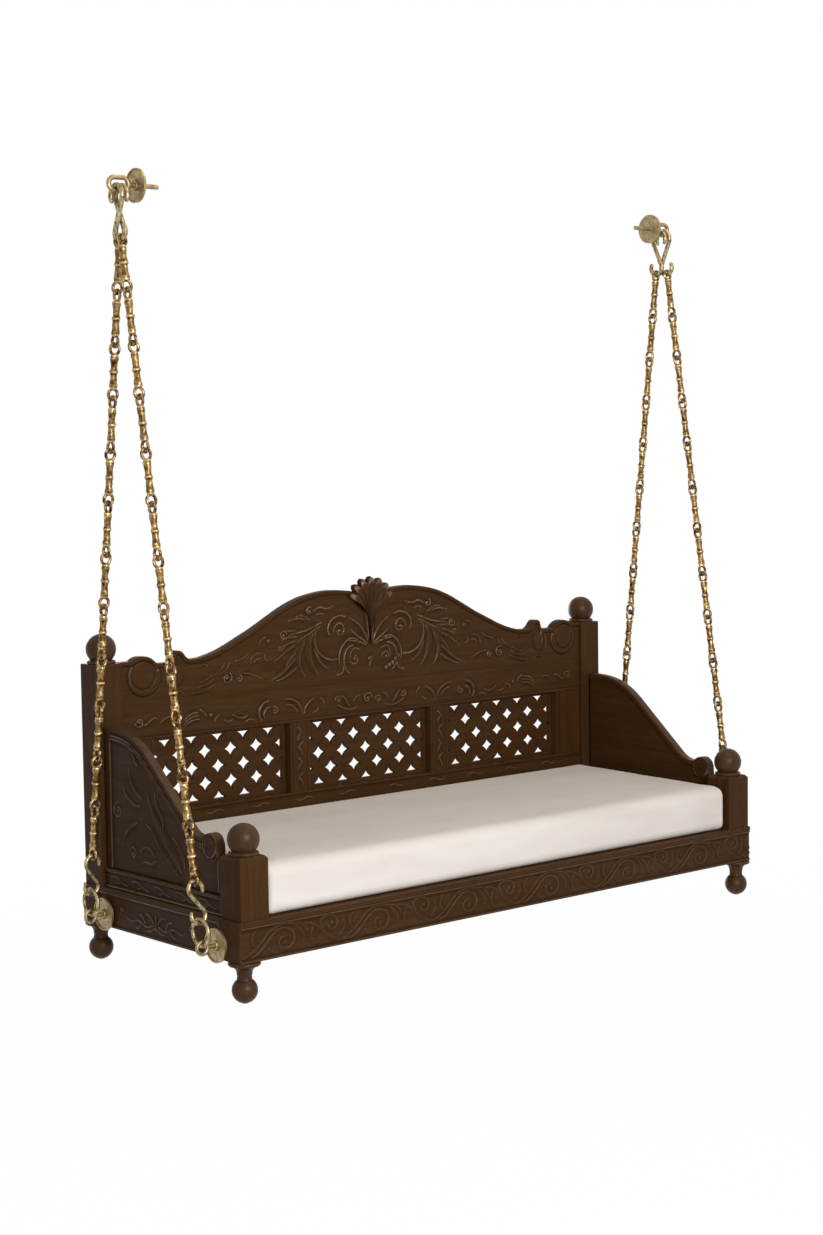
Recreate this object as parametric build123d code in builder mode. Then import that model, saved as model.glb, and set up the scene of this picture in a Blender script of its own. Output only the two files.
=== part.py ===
"""Jhoola: a carved hardwood swing bench hung from a beam on four brass chains.

Frame: millimetres, +Z up, +Y to the back, +X to the right as seen from the front.
Pieces named left are on the -X side. The origin is under the middle of the seat frame,
on the level of the feet.
"""

import os
from math import asin, atan2, cos, degrees, radians, sin, tan

from build123d import *

os.makedirs("parts", exist_ok=True)

# ---------------------------------------------------------------- driving dimensions
# seat frame
bench_length = 1830.0
bench_depth = 684.0
rail_height = 99.0
front_rail_thick = 75.0
back_rail_thick = 44.0
side_rail_thick = 45.0
joint_gap = 0.2          # clearance round every tenon, tongue and dowel
end_gap = 1.0            # room beyond the end of every tenon, tongue and dowel

# feet
foot_height = 100.0
foot_ball_dia = 63.0
foot_neck_dia = 37.0
foot_collar_dia = 80.0
foot_collar_height = 24.0
foot_bead = 8.0          # height of the round bead under the seat frame
foot_bead_depth = 3.0
foot_flare = 6.0         # how far the hollow under the bead runs down the neck
foot_inset = 30.0        # from the bench faces to the foot's centre
foot_dowel_dia = 20.0
foot_dowel_length = 36.0

# posts and their ball finials
post_setback = 5.0       # from the seat frame's faces to the posts
front_post_width = 82.0
front_post_height = 152.0
back_post_width = 76.0
back_post_height = 568.0
post_shoulder = 7.0      # chamfer round a front post's head
post_tenon_width = 26.0
post_tenon_length = 46.0
back_post_arris = 2.0    # chamfer round a back post's head
finial_ball_dia = 78.0
finial_collar_dia = 74.0
finial_collar_height = 12.0
finial_bead_depth = 2.0
finial_neck_dia = 56.0
finial_dowel_dia = 18.0
finial_dowel_length = 40.0

# seat deck
plank_thick = 24.0
plank_count = 12
plank_gap = 3.0
ledger_width = 30.0
ledger_height = 30.0
stretcher_width = 60.0
stretcher_height = 40.0
stretcher_at = 420.0     # from the middle to each stretcher
stretcher_stub = 15.0
stretcher_rise = 4.0     # above the seat frame's underside
side_tenon_thick = 18.0
side_tenon_length = 30.0
side_tenon_inset = 10.0  # from the bench's end
side_tenon_low = 45.0    # above the seat frame's underside, clear of the feet's dowels
side_tenon_shoulder = 14.0
back_tenon_shoulder = 8.0

# back frame
back_recess = 5.0        # from the posts' front to the back frame's front
frame_thick = 42.0
crest_thick = 28.0
lattice_low = 169.0      # heights above the top of the seat frame
lattice_high = 362.0
bottom_rail_low = 90.0
frieze_high = 457.0
end_stile_width = 99.0
mullion_width = 68.0
lattice_thick = 12.0
lattice_recess = 28.0
lattice_rebate = 8.0
toe_panel_thick = 14.0
back_tongue = 12.0       # how far the back members run into the posts
back_tongue_thick = 20.0
back_tongue_low = 12.0   # shoulder below a tongue
back_tongue_high = 14.0  # shoulder above it
crest_tongue_shoulder = 6.0
frame_dowel_dia = 12.0
frame_dowel_length = 60.0
upright_dowel_depth = 14.0  # behind the back frame's front face

# lattice holes: four-pointed, with hollow sides
hole_half_width = 21.5
hole_half_height = 29.0
hole_hollow = 0.36       # where a side's middle lies, as a share of the half sizes
hole_columns = 5
hole_rows = 2
lattice_border = 10.0

# crest outline: heights above the top of the seat frame, x from the middle
crest_lobe = (160.0, 717.0)
crest_centre_height = 700.0
crest_slope = ((250.0, 701.0), (402.0, 630.0), (530.0, 575.0))
crest_valley = (612.0, 561.0)
crest_leaf = ((643.0, 585.0), (666.0, 582.0))
crest_leaf_foot = (674.0, 558.0)
roundel_at = (765.0, 526.0)
roundel_crown = 54.0
crest_end_height = 569.0

# palmette on the crest
palmette_low = 560.0
palmette_top = 750.0
palmette_half_width = 79.0
palmette_lobes = 7
palmette_spread = 164.0   # degrees between the outermost lobes
palmette_swell = 22.0    # from its middle height up to the fan's centre
palmette_lobe_dia = 44.0
palmette_stem = 12.0
palmette_thick = 18.0
palmette_housing = 8.0

# arms
arm_thick = 28.0
arm_setback = 20.0       # from the seat frame's side face to the arm panel
plinth_height = 48.0
plinth_thick = 41.0
plinth_setback = 12.0
arm_back_height = 408.0  # above the top of the seat frame
arm_low_height = 180.0
arm_head_from_back = 126.0
arm_foot_from_front = 126.0
arm_head_radius = 250.0
arm_foot_radius = 80.0
arm_scroll_radius = 30.0
arm_scroll_from_post = 64.0
arm_scroll_height = 163.0
arm_front_height = 152.0
arm_tongue = 12.0

# mattress
mattress_thick = 134.0
mattress_end_gap = 3.0
mattress_setback = 8.0
mattress_back_gap = 4.0
mattress_edge_radius = 20.0
plinth_round = 5.0
seat_gap = 0.3

# anchor plates and eye bolts on the seat frame's ends
anchor_inset = 98.0      # from the front and back faces
anchor_height = 32.0     # above the seat frame's underside
plate_dia = 84.0
plate_thick = 4.0
plate_rim = 2.5
plate_boss_dia = 26.0
plate_boss_height = 6.0
plate_rim_width = 3.5
plate_boss_round = 2.0
screw_pcd = 56.0
screw_count = 4
screw_dia = 5.0
screw_head_dia = 9.0
screw_head_height = 2.8
screw_length = 28.0
eye_reach = 42.0         # from the bench's end to the eye's centre
eye_radius = 15.0        # to the middle of the eye's wire
eye_wire = 9.0
eye_shank_dia = 12.0
nut_width = 19.0
nut_height = 10.0
washer_dia = 26.0
washer_thick = 2.5
bolt_gap = 0.25          # radial clearance round a shank
screw_gap = 0.1          # radial clearance of a screw in a plate
bolt_end = 4.0           # bare shank beyond a nut

# lower rings and S-hooks
ring_dia = 74.0
ring_wire = 10.0
hook_wire = 11.5
hook_height = 113.0
hook_bend = 20.0
hook_tip_angle = 18.0
link_gap = 0.3           # between two wires that hang in each other
sway_gap = 0.9           # between an upper hook and the chain that leans in it

# upper S-hooks, eyes and plates on the beam
beam_eye_height = 1930.0
hang_y = 34.7            # line through the beam eyes: over the bench's balance point
beam_eye_wire = 12.0
beam_eye_end_radius = 16.0
beam_eye_straight = 24.0
beam_hook_wire = 13.5
beam_hook_height = 145.0
beam_hook_top_bend = 25.0
beam_hook_low_bend = 21.0
beam_hook_spacing = 16.0
beam_plate_reach = 48.0  # from the eye's centre to the plate's outer face
beam_stud_length = 60.0

# chains
link_count = 12          # even, so that the end loops stand at right angles
link_wire = 8.5
loop_radius = 12.6
loop_straight = 2.0
bar_neck_dia = 17.0
bar_swell_dia = 22.0
bar_waist_dia = 17.5
bar_bead_dia = 24.0
bar_bead_width = 7.0

# ---------------------------------------------------------------- places worked out from them
end_x = bench_length / 2
front_y = -bench_depth / 2
back_y = bench_depth / 2
rail_low = foot_height
seat_top = foot_height + rail_height
side_inner = end_x - side_rail_thick
deck_front = front_y + front_rail_thick
deck_back = back_y - back_rail_thick

front_post_x = end_x - post_setback - front_post_width / 2
front_post_y = front_y + post_setback + front_post_width / 2
back_post_x = end_x - post_setback - back_post_width / 2
back_post_y = back_y - post_setback - back_post_width / 2
back_span = 2 * (back_post_x - back_post_width / 2)
frame_front = back_post_y - back_post_width / 2 + back_recess
frame_mid = frame_front + frame_thick / 2
lattice_y = frame_front + lattice_recess + lattice_thick / 2

anchor_z = rail_low + anchor_height
anchor_ys = {"front": front_y + anchor_inset, "back": back_y - anchor_inset}
hang_x = end_x + eye_reach

SIDES = {"left": -1, "right": 1}
CORNERS = {"front_left": (-1, "front"), "front_right": (1, "front"),
           "back_left": (-1, "back"), "back_right": (1, "back")}


def save(piece, name):
    """Label a finished piece and write its STEP file."""
    piece.part.label = name
    export_step(piece.part, f"parts/{name}.step")


def block(x, y, z, mode=Mode.ADD):
    """A box given by its lowest and highest place along each axis."""
    centre = ((x[0] + x[1]) / 2, (y[0] + y[1]) / 2, (z[0] + z[1]) / 2)
    with Locations(centre):
        Box(abs(x[1] - x[0]), abs(y[1] - y[0]), abs(z[1] - z[0]), mode=mode)


def grown(span, gap):
    """A span made longer by a gap at both ends."""
    low, high = sorted(span)
    return (low - gap, high + gap)


# ---------------------------------------------------------------- seat frame
# A tenon on each end of a side rail stands in the front and back rails.
side_tenon_x = (end_x - side_tenon_inset - side_tenon_thick, end_x - side_tenon_inset)
side_tenon_z = (rail_low + side_tenon_low, seat_top - side_tenon_shoulder)

# A square tenon under each post stands in the front or back rail.
post_tenon_z = (seat_top - post_tenon_length, seat_top)
front_tenon_x = (front_post_x - post_tenon_width / 2, front_post_x + post_tenon_width / 2)
front_tenon_y = (front_post_y - post_tenon_width / 2, front_post_y + post_tenon_width / 2)
back_tenon_x = (back_post_x - post_tenon_width / 2, back_post_x + post_tenon_width / 2)
back_tenon_y = (deck_back + back_tenon_shoulder, back_y - post_setback - back_tenon_shoulder)

stretcher_z = (rail_low + stretcher_rise, rail_low + stretcher_rise + stretcher_height)
ledger_z = (seat_top - plank_thick - ledger_height, seat_top - plank_thick)


def long_rail(y, tenon_x, tenon_y, inward):
    """A front or back rail with its mortises for side rails, posts, stretchers and feet."""
    inner = y[1] if inward > 0 else y[0]
    with BuildPart() as rail:
        block((-end_x, end_x), y, (rail_low, seat_top))
        for side in SIDES.values():
            block(grown([side * v for v in side_tenon_x], joint_gap),
                  (inner - inward * (side_tenon_length + end_gap), inner),
                  grown(side_tenon_z, joint_gap), Mode.SUBTRACT)
            block(grown([side * v for v in tenon_x], joint_gap), grown(tenon_y, joint_gap),
                  (post_tenon_z[0] - end_gap, post_tenon_z[1]), Mode.SUBTRACT)
            block(grown((side * stretcher_at - stretcher_width / 2,
                         side * stretcher_at + stretcher_width / 2), joint_gap),
                  (inner - inward * (stretcher_stub + end_gap), inner),
                  grown(stretcher_z, joint_gap), Mode.SUBTRACT)
            foot_y = front_y + foot_inset if inward > 0 else back_y - foot_inset
            with Locations((side * (end_x - foot_inset), foot_y, rail_low)):
                Cylinder(foot_dowel_dia / 2 + joint_gap, foot_dowel_length + end_gap,
                         align=(Align.CENTER, Align.CENTER, Align.MIN), mode=Mode.SUBTRACT)
    return rail


save(long_rail((front_y, deck_front), front_tenon_x, front_tenon_y, 1), "front_rail")
save(long_rail((deck_back, back_y), back_tenon_x, back_tenon_y, -1), "back_rail")

for name, side in SIDES.items():
    with BuildPart() as side_rail:
        block((side * side_inner, side * end_x), (deck_front, deck_back), (rail_low, seat_top))
        block([side * v for v in side_tenon_x],
              (deck_front - side_tenon_length, deck_back + side_tenon_length), side_tenon_z)
        for y in anchor_ys.values():
            with Locations(Location((side * end_x, y, anchor_z), (0, 90, 0))):
                Hole(eye_shank_dia / 2 + bolt_gap)
            with Locations(Location((side * end_x, y, anchor_z), (0, 90 * side, 0))):
                with PolarLocations(screw_pcd / 2, screw_count, start_angle=45):
                    Cylinder(screw_dia / 2 + screw_gap / 2, 2 * (screw_length - plate_thick),
                             mode=Mode.SUBTRACT)
    save(side_rail, f"side_rail_{name}")

with BuildPart() as seat_stretchers:
    for side in SIDES.values():
        block((side * stretcher_at - stretcher_width / 2, side * stretcher_at + stretcher_width / 2),
              (deck_front - stretcher_stub, deck_back + stretcher_stub), stretcher_z)
save(seat_stretchers, "seat_stretchers")

# Ledgers are screwed to the long rails and carry the planks.
ledger_spans = ((deck_front, deck_front + ledger_width, -1), (deck_back - ledger_width, deck_back, 1))
ledger_screw_xs = [-700, -350, 0, 350, 700]
ledger_screw_z = (ledger_z[0] + ledger_z[1]) / 2

with BuildPart() as seat_ledgers:
    for low, high, outward in ledger_spans:
        block((-side_inner, side_inner), (low, high), ledger_z)
        inner = high if outward < 0 else low
        for x in ledger_screw_xs:
            with Locations(Location((x, inner, ledger_screw_z), (-90 * outward, 0, 0))):
                Cylinder(screw_dia / 2 + joint_gap, 2.2 * ledger_width, mode=Mode.SUBTRACT)
save(seat_ledgers, "seat_ledgers")

plank_pitch = 2 * side_inner / plank_count
with BuildPart() as seat_planks:
    for i in range(plank_count):
        x = -side_inner + i * plank_pitch
        block((x + plank_gap / 2, x + plank_pitch - plank_gap / 2), (deck_front, deck_back),
              (seat_top - plank_thick, seat_top))
save(seat_planks, "seat_planks")

# ---------------------------------------------------------------- feet and finials
# Both are turned in one piece with the dowel that holds them.
foot_ball_z = foot_ball_dia / 2
foot_neck_z = foot_ball_z + (foot_ball_dia ** 2 - foot_neck_dia ** 2) ** 0.5 / 2
foot_collar_z = foot_height - foot_collar_height
bead_x = foot_collar_dia / 2 - foot_bead_depth

with BuildPart() as turned_foot:
    with BuildSketch(Plane.XZ):
        with BuildLine():
            Line((0, 0), (0, foot_height + foot_dowel_length))
            Polyline((0, foot_height + foot_dowel_length),
                     (foot_dowel_dia / 2, foot_height + foot_dowel_length),
                     (foot_dowel_dia / 2, foot_height), (bead_x, foot_height))
            ThreePointArc((bead_x, foot_height), (foot_collar_dia / 2, foot_height - foot_bead / 2),
                          (bead_x, foot_height - foot_bead))
            ThreePointArc((bead_x, foot_height - foot_bead),
                          (foot_neck_dia / 2 + foot_flare, foot_collar_z + foot_collar_height / 3),
                          (foot_neck_dia / 2, foot_collar_z - foot_flare))
            Line((foot_neck_dia / 2, foot_collar_z - foot_flare), (foot_neck_dia / 2, foot_neck_z))
            ThreePointArc((foot_neck_dia / 2, foot_neck_z), (foot_ball_dia / 2, foot_ball_z), (0, 0))
        make_face()
    revolve(axis=Axis.Z)

for corner, (side, end) in CORNERS.items():
    y = front_y + foot_inset if end == "front" else back_y - foot_inset
    with BuildPart() as foot:
        with Locations((side * (end_x - foot_inset), y, 0)):
            add(turned_foot.part)
    save(foot, f"foot_{corner}")

post_places = {"front": (front_post_x, front_post_y, seat_top + front_post_height),
               "back": (back_post_x, back_post_y, seat_top + back_post_height)}
ball_low = finial_collar_height - finial_bead_depth
collar_x = finial_collar_dia / 2 - finial_bead_depth
ball_z = ball_low + (finial_ball_dia ** 2 - finial_neck_dia ** 2) ** 0.5 / 2

with BuildPart() as turned_finial:
    with BuildSketch(Plane.XZ):
        with BuildLine():
            Polyline((0, -finial_dowel_length), (finial_dowel_dia / 2, -finial_dowel_length),
                     (finial_dowel_dia / 2, 0), (collar_x, 0))
            ThreePointArc((collar_x, 0), (finial_collar_dia / 2, finial_collar_height / 3),
                          (collar_x, finial_collar_height * 2 / 3))
            ThreePointArc((collar_x, finial_collar_height * 2 / 3),
                          (finial_neck_dia / 2 + finial_bead_depth, finial_collar_height * 0.75),
                          (finial_neck_dia / 2, ball_low))
            ThreePointArc((finial_neck_dia / 2, ball_low), (finial_ball_dia / 2, ball_z),
                          (0, ball_z + finial_ball_dia / 2))
            Line((0, ball_z + finial_ball_dia / 2), (0, -finial_dowel_length))
        make_face()
    revolve(axis=Axis.Z)

for corner, (side, end) in CORNERS.items():
    x, y, z = post_places[end]
    with BuildPart() as finial:
        with Locations((side * x, y, z)):
            add(turned_finial.part)
    save(finial, f"finial_{corner}")

# ---------------------------------------------------------------- posts
arm_x = (end_x - arm_setback - arm_thick, end_x - arm_setback)
arm_ys = (front_post_y + front_post_width / 2, back_post_y - back_post_width / 2)
plinth_x = (end_x - plinth_setback - plinth_thick, end_x - plinth_setback)
plinth_top = seat_top + plinth_height
arm_back_top = seat_top + arm_back_height
arm_front_top = seat_top + arm_front_height - 12

frame_z = {"toe_panel": (seat_top, seat_top + bottom_rail_low),
           "bottom_rail": (seat_top + bottom_rail_low, seat_top + lattice_low),
           "frieze_rail": (seat_top + lattice_high, seat_top + frieze_high),
           "crest_board": (seat_top + frieze_high, seat_top + crest_end_height)}
toe_y = (frame_front + frame_thick - toe_panel_thick, frame_front + frame_thick)
tongue_y = {"toe_panel": toe_y,
            "bottom_rail": (frame_mid - back_tongue_thick / 2, frame_mid + back_tongue_thick / 2),
            "frieze_rail": (frame_mid - back_tongue_thick / 2, frame_mid + back_tongue_thick / 2),
            "crest_board": (frame_front + crest_tongue_shoulder,
                            frame_front + crest_thick - crest_tongue_shoulder)}
tongue_z = {key: (low if key == "toe_panel" else low + back_tongue_low, high - back_tongue_high)
            for key, (low, high) in frame_z.items()}

for corner, (side, end) in CORNERS.items():
    front = end == "front"
    x, y, top = post_places[end]
    half = (front_post_width if front else back_post_width) / 2
    tenon_x, tenon_y = (front_tenon_x, front_tenon_y) if front else (back_tenon_x, back_tenon_y)
    inner_x = x - half
    with BuildPart() as post:
        block((side * (x - half), side * (x + half)), (y - half, y + half), (seat_top, top))
        if front:
            chamfer(post.faces().sort_by(Axis.Z)[-1].edges(), post_shoulder)
        else:
            chamfer(post.faces().sort_by(Axis.Z)[-1].edges(), back_post_arris)
        block([side * v for v in tenon_x], tenon_y, post_tenon_z)
        with Locations((side * x, y, top)):
            Cylinder(finial_dowel_dia / 2 + joint_gap, finial_dowel_length + end_gap,
                     align=(Align.CENTER, Align.CENTER, Align.MAX), mode=Mode.SUBTRACT)
        groove_y = ((y + half - arm_tongue - end_gap, y + half) if front
                    else (y - half, y - half + arm_tongue + end_gap))
        block(grown([side * v for v in arm_x], joint_gap), groove_y,
              (plinth_top, (arm_front_top if front else arm_back_top) + joint_gap), Mode.SUBTRACT)
        if not front:
            for key, z in tongue_z.items():
                block((side * inner_x, side * (inner_x + back_tongue + end_gap)),
                      grown(tongue_y[key], joint_gap), grown(z, joint_gap), Mode.SUBTRACT)
    save(post, f"post_{corner}")

# ---------------------------------------------------------------- back frame
lattice_width = (back_span - 2 * end_stile_width - 2 * mullion_width) / 3
lattice_height = lattice_high - lattice_low
lattice_centre_z = seat_top + (lattice_low + lattice_high) / 2
lattice_xs = {"left": -(lattice_width + mullion_width), "centre": 0.0,
              "right": lattice_width + mullion_width}
mullion_x = (lattice_width + mullion_width) / 2
dowel_span = (-frame_dowel_length / 2, frame_dowel_length / 2)
crest_dowels = [(x, frame_front + crest_thick / 2, seat_top + frieze_high)
                for x in (-660, -330, 0, 330, 660)]
upright_dowels = [(side * x, frame_front + upright_dowel_depth, seat_top + z) for side in SIDES.values()
                  for x in (mullion_x, back_span / 2 - end_stile_width / 2)
                  for z in (lattice_low, lattice_high)]


def cut_lattice_grooves():
    """Groove that the three lattice panels stand in."""
    for x in lattice_xs.values():
        block(grown((x - lattice_width / 2, x + lattice_width / 2), lattice_rebate + joint_gap),
              grown((lattice_y - lattice_thick / 2, lattice_y + lattice_thick / 2), joint_gap),
              grown((lattice_centre_z - lattice_height / 2, lattice_centre_z + lattice_height / 2),
                    lattice_rebate + joint_gap), Mode.SUBTRACT)


def cut_dowel_holes():
    """Blind holes for every dowel of the back frame."""
    with Locations(*crest_dowels, *upright_dowels):
        Cylinder(frame_dowel_dia / 2 + joint_gap / 2, frame_dowel_length + end_gap, mode=Mode.SUBTRACT)


for key in ("bottom_rail", "frieze_rail"):
    with BuildPart() as rail:
        block((-back_span / 2, back_span / 2), (frame_front, frame_front + frame_thick), frame_z[key])
        block((-back_span / 2 - back_tongue, back_span / 2 + back_tongue), tongue_y[key], tongue_z[key])
        cut_lattice_grooves()
        cut_dowel_holes()
    save(rail, key)

with BuildPart() as toe_panel:
    block((-back_span / 2, back_span / 2), toe_y, frame_z["toe_panel"])
    block((-back_span / 2 - back_tongue, back_span / 2 + back_tongue), toe_y, tongue_z["toe_panel"])
save(toe_panel, "toe_panel")

upright_z = (seat_top + lattice_low, seat_top + lattice_high)
with BuildPart() as end_stiles:
    for side in SIDES.values():
        block((side * (back_span / 2 - end_stile_width), side * back_span / 2),
              (frame_front, frame_front + frame_thick), upright_z)
    cut_lattice_grooves()
    cut_dowel_holes()
save(end_stiles, "end_stiles")

with BuildPart() as mullions:
    for side in SIDES.values():
        block((side * mullion_x - mullion_width / 2, side * mullion_x + mullion_width / 2),
              (frame_front, frame_front + frame_thick), upright_z)
    cut_lattice_grooves()
    cut_dowel_holes()
save(mullions, "mullions")

with BuildPart() as back_dowels:
    with Locations(*crest_dowels, *upright_dowels):
        Cylinder(frame_dowel_dia / 2, frame_dowel_length)
save(back_dowels, "back_dowels")

# Lattice panels: staggered rows of four-pointed holes, cut off straight at the border.
hole_pitch_x = (lattice_width - 2 * lattice_border) / hole_columns
hole_pitch_z = (lattice_height - 2 * lattice_border) / hole_rows
hole_window = (lattice_width - 2 * lattice_border, lattice_height - 2 * lattice_border)
hole_places = [(i * hole_pitch_x, j * hole_pitch_z)
               for i in range(-3, 4) for j in range(-1, 2)]
hole_places = [(x, z) for x, z in hole_places if abs(x) < hole_window[0] / 2]
hole_places += [((i + 0.5) * hole_pitch_x, (j + 0.5) * hole_pitch_z)
                for i in range(-3, 3) for j in range(-1, 1)]

with BuildSketch(Plane.XZ) as lattice_holes:
    with Locations(*hole_places):
        with BuildSketch(mode=Mode.PRIVATE) as hole:
            with BuildLine():
                corners = [(hole_half_width, 0), (0, hole_half_height),
                           (-hole_half_width, 0), (0, -hole_half_height)]
                for (xa, za), (xb, zb) in zip(corners, corners[1:] + corners[:1]):
                    ThreePointArc((xa, za), ((xa + xb) * hole_hollow, (za + zb) * hole_hollow), (xb, zb))
            make_face()
        add(hole.sketch)
    Rectangle(*hole_window, mode=Mode.INTERSECT)

for name, x in lattice_xs.items():
    with BuildPart() as lattice:
        with Locations((x, lattice_y, lattice_centre_z)):
            Box(lattice_width + 2 * lattice_rebate, lattice_thick, lattice_height + 2 * lattice_rebate)
        with Locations((x, lattice_y, lattice_centre_z)):
            add(extrude(lattice_holes.sketch, lattice_thick, both=True, mode=Mode.PRIVATE),
                mode=Mode.SUBTRACT)
    save(lattice, f"lattice_{name}")

# Palmette: a fan of round-tipped lobes on a narrow stem, let into the crest.
fan_centre = (0.0, (palmette_low + palmette_top) / 2 + palmette_swell)
fan_radius = palmette_top - fan_centre[1] - palmette_lobe_dia / 2


def fan_sketch(gap):
    """The palmette's outline, made larger by a gap all round."""
    with BuildSketch(Plane.XZ.offset(-frame_front)) as fan:
        for i in range(palmette_lobes):
            turn = radians(90 + (i / (palmette_lobes - 1) - 0.5) * palmette_spread)
            reach_x = (palmette_half_width - palmette_lobe_dia / 2) * cos(turn)
            with Locations((reach_x, seat_top + fan_centre[1] + fan_radius * sin(turn))):
                Circle(palmette_lobe_dia / 2 + gap)
        with BuildLine():
            Polyline((-palmette_stem - gap, seat_top + palmette_low - gap),
                     (palmette_stem + gap, seat_top + palmette_low - gap),
                     (palmette_half_width - palmette_lobe_dia / 2 + gap, seat_top + fan_centre[1]),
                     (0, seat_top + palmette_top - palmette_lobe_dia / 2 + gap),
                     (-palmette_half_width + palmette_lobe_dia / 2 - gap, seat_top + fan_centre[1]),
                     close=True)
        make_face()
    return fan


# Crest board: a serpentine top edge, drawn once and mirrored.
with BuildPart() as crest_board:
    with BuildSketch(Plane.XZ.offset(-frame_front)) as outline:
        with BuildLine() as half:
            low = seat_top + frieze_high
            up = seat_top
            Line((0, low), (0, up + crest_centre_height))
            Spline((0, up + crest_centre_height), (crest_lobe[0], up + crest_lobe[1]),
                   *[(x, up + z) for x, z in crest_slope],
                   (crest_valley[0], up + crest_valley[1]),
                   tangents=((1, 0.35), (1, 0.05)))
            Spline((crest_valley[0], up + crest_valley[1]),
                   *[(x, up + z) for x, z in crest_leaf],
                   (crest_leaf_foot[0], up + crest_leaf_foot[1]), tangents=((1, 0.1), (-0.1, -1)))
            rise_x = roundel_at[0] - roundel_crown * 0.8
            rise_z = up + roundel_at[1] + roundel_crown * 0.6
            Line((crest_leaf_foot[0], up + crest_leaf_foot[1]), (rise_x, rise_z))
            fall_x = roundel_at[0] + roundel_crown * 0.6
            fall_z = up + roundel_at[1] + roundel_crown * 0.8
            ThreePointArc((rise_x, rise_z), (roundel_at[0], up + roundel_at[1] + roundel_crown),
                          (fall_x, fall_z))
            Line((fall_x, fall_z), (back_span / 2, up + crest_end_height))
            Line((back_span / 2, up + crest_end_height), (back_span / 2, low))
            Line((back_span / 2, low), (0, low))
        make_face()
        mirror(about=Plane.YZ)
    extrude(amount=-crest_thick)
    block((-back_span / 2 - back_tongue, back_span / 2 + back_tongue), tongue_y["crest_board"],
          tongue_z["crest_board"])
    add(extrude(fan_sketch(joint_gap).sketch, -palmette_housing, mode=Mode.PRIVATE), mode=Mode.SUBTRACT)
    cut_dowel_holes()
save(crest_board, "crest_board")

with BuildPart() as crest_palmette:
    add(extrude(fan_sketch(0.0).sketch, -palmette_housing, mode=Mode.PRIVATE))
    add(extrude(fan_sketch(0.0).sketch, palmette_thick - palmette_housing, mode=Mode.PRIVATE))
save(crest_palmette, "crest_palmette")

# ---------------------------------------------------------------- arms
head_y = arm_ys[1] - arm_head_from_back
foot_y = arm_ys[0] + arm_foot_from_front
scroll_y = arm_ys[0] + arm_scroll_from_post
arm_low = seat_top + arm_low_height
# The two rounds of the slope, no larger than the straight stretches beside them allow.
slope_tangent = tan(atan2(arm_back_top - arm_low, head_y - foot_y) / 2)
head_round = min(arm_head_radius, 0.99 * arm_head_from_back / slope_tangent)
foot_round = min(arm_foot_radius, 0.99 * (foot_y - scroll_y) / slope_tangent)

for name, side in SIDES.items():
    outer = side * arm_x[1]
    with BuildPart() as arm:
        with BuildSketch(Plane.YZ.offset(outer)):
            with BuildLine():
                FilletPolyline((arm_ys[1], arm_back_top), (head_y, arm_back_top), (foot_y, arm_low),
                               (scroll_y, arm_low), radius=(head_round, foot_round))
                Polyline((scroll_y, arm_low), (scroll_y, arm_front_top), (arm_ys[0], arm_front_top),
                         (arm_ys[0], plinth_top), (arm_ys[1], plinth_top), (arm_ys[1], arm_back_top))
            make_face()
            with Locations((scroll_y, seat_top + arm_scroll_height)):
                Circle(arm_scroll_radius)
        extrude(amount=-side * arm_thick)
        block([side * v for v in arm_x], (arm_ys[0] - arm_tongue, arm_ys[0]),
              (plinth_top, arm_front_top))
        block([side * v for v in arm_x], (arm_ys[1], arm_ys[1] + arm_tongue),
              (plinth_top, arm_back_top))
    save(arm, f"arm_panel_{name}")
    with BuildPart() as plinth:
        block([side * v for v in plinth_x], arm_ys, (seat_top, plinth_top))
        fillet(plinth.edges().filter_by(Axis.Y).group_by(Axis.Z)[-1], plinth_round)
    save(plinth, f"arm_plinth_{name}")

# ---------------------------------------------------------------- mattress
mattress_x = front_post_x - front_post_width / 2 - mattress_end_gap
with BuildPart() as mattress:
    block((-mattress_x, mattress_x), (front_y + mattress_setback, frame_front - mattress_back_gap),
          (seat_top + seat_gap, seat_top + seat_gap + mattress_thick))
    fillet(mattress.edges().filter_by(Axis.Z), 2 * mattress_edge_radius)
    fillet(mattress.faces().sort_by(Axis.Z)[-1].edges(), mattress_edge_radius)
    fillet(mattress.faces().sort_by(Axis.Z)[0].edges(), mattress_edge_radius / 2)
save(mattress, "mattress")


# ---------------------------------------------------------------- plates, eyes, screws and nuts
with BuildPart() as plate:
    Cylinder(plate_dia / 2, plate_thick, align=(Align.CENTER, Align.CENTER, Align.MIN))
    with BuildSketch(Plane.XY.offset(plate_thick)):
        Circle(plate_dia / 2)
        Circle(plate_dia / 2 - plate_rim_width, mode=Mode.SUBTRACT)
    extrude(amount=plate_rim)
    Cylinder(plate_boss_dia / 2, plate_thick + plate_boss_height,
             align=(Align.CENTER, Align.CENTER, Align.MIN))
    fillet(plate.faces().sort_by(Axis.Z)[-1].edges(), plate_boss_round)
    Cylinder(eye_shank_dia / 2 + bolt_gap, 2 * plate_dia, mode=Mode.SUBTRACT)
    with PolarLocations(screw_pcd / 2, screw_count, start_angle=45):
        Cylinder(screw_dia / 2 + screw_gap, 2 * plate_dia, mode=Mode.SUBTRACT)

anchor_frames = [Location((side * end_x, y, anchor_z), (0, 90 * side, 0))
                 for side in SIDES.values() for y in anchor_ys.values()]

with BuildPart() as anchor_plates:
    with Locations(*anchor_frames):
        add(plate.part)
save(anchor_plates, "anchor_plates")

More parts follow.
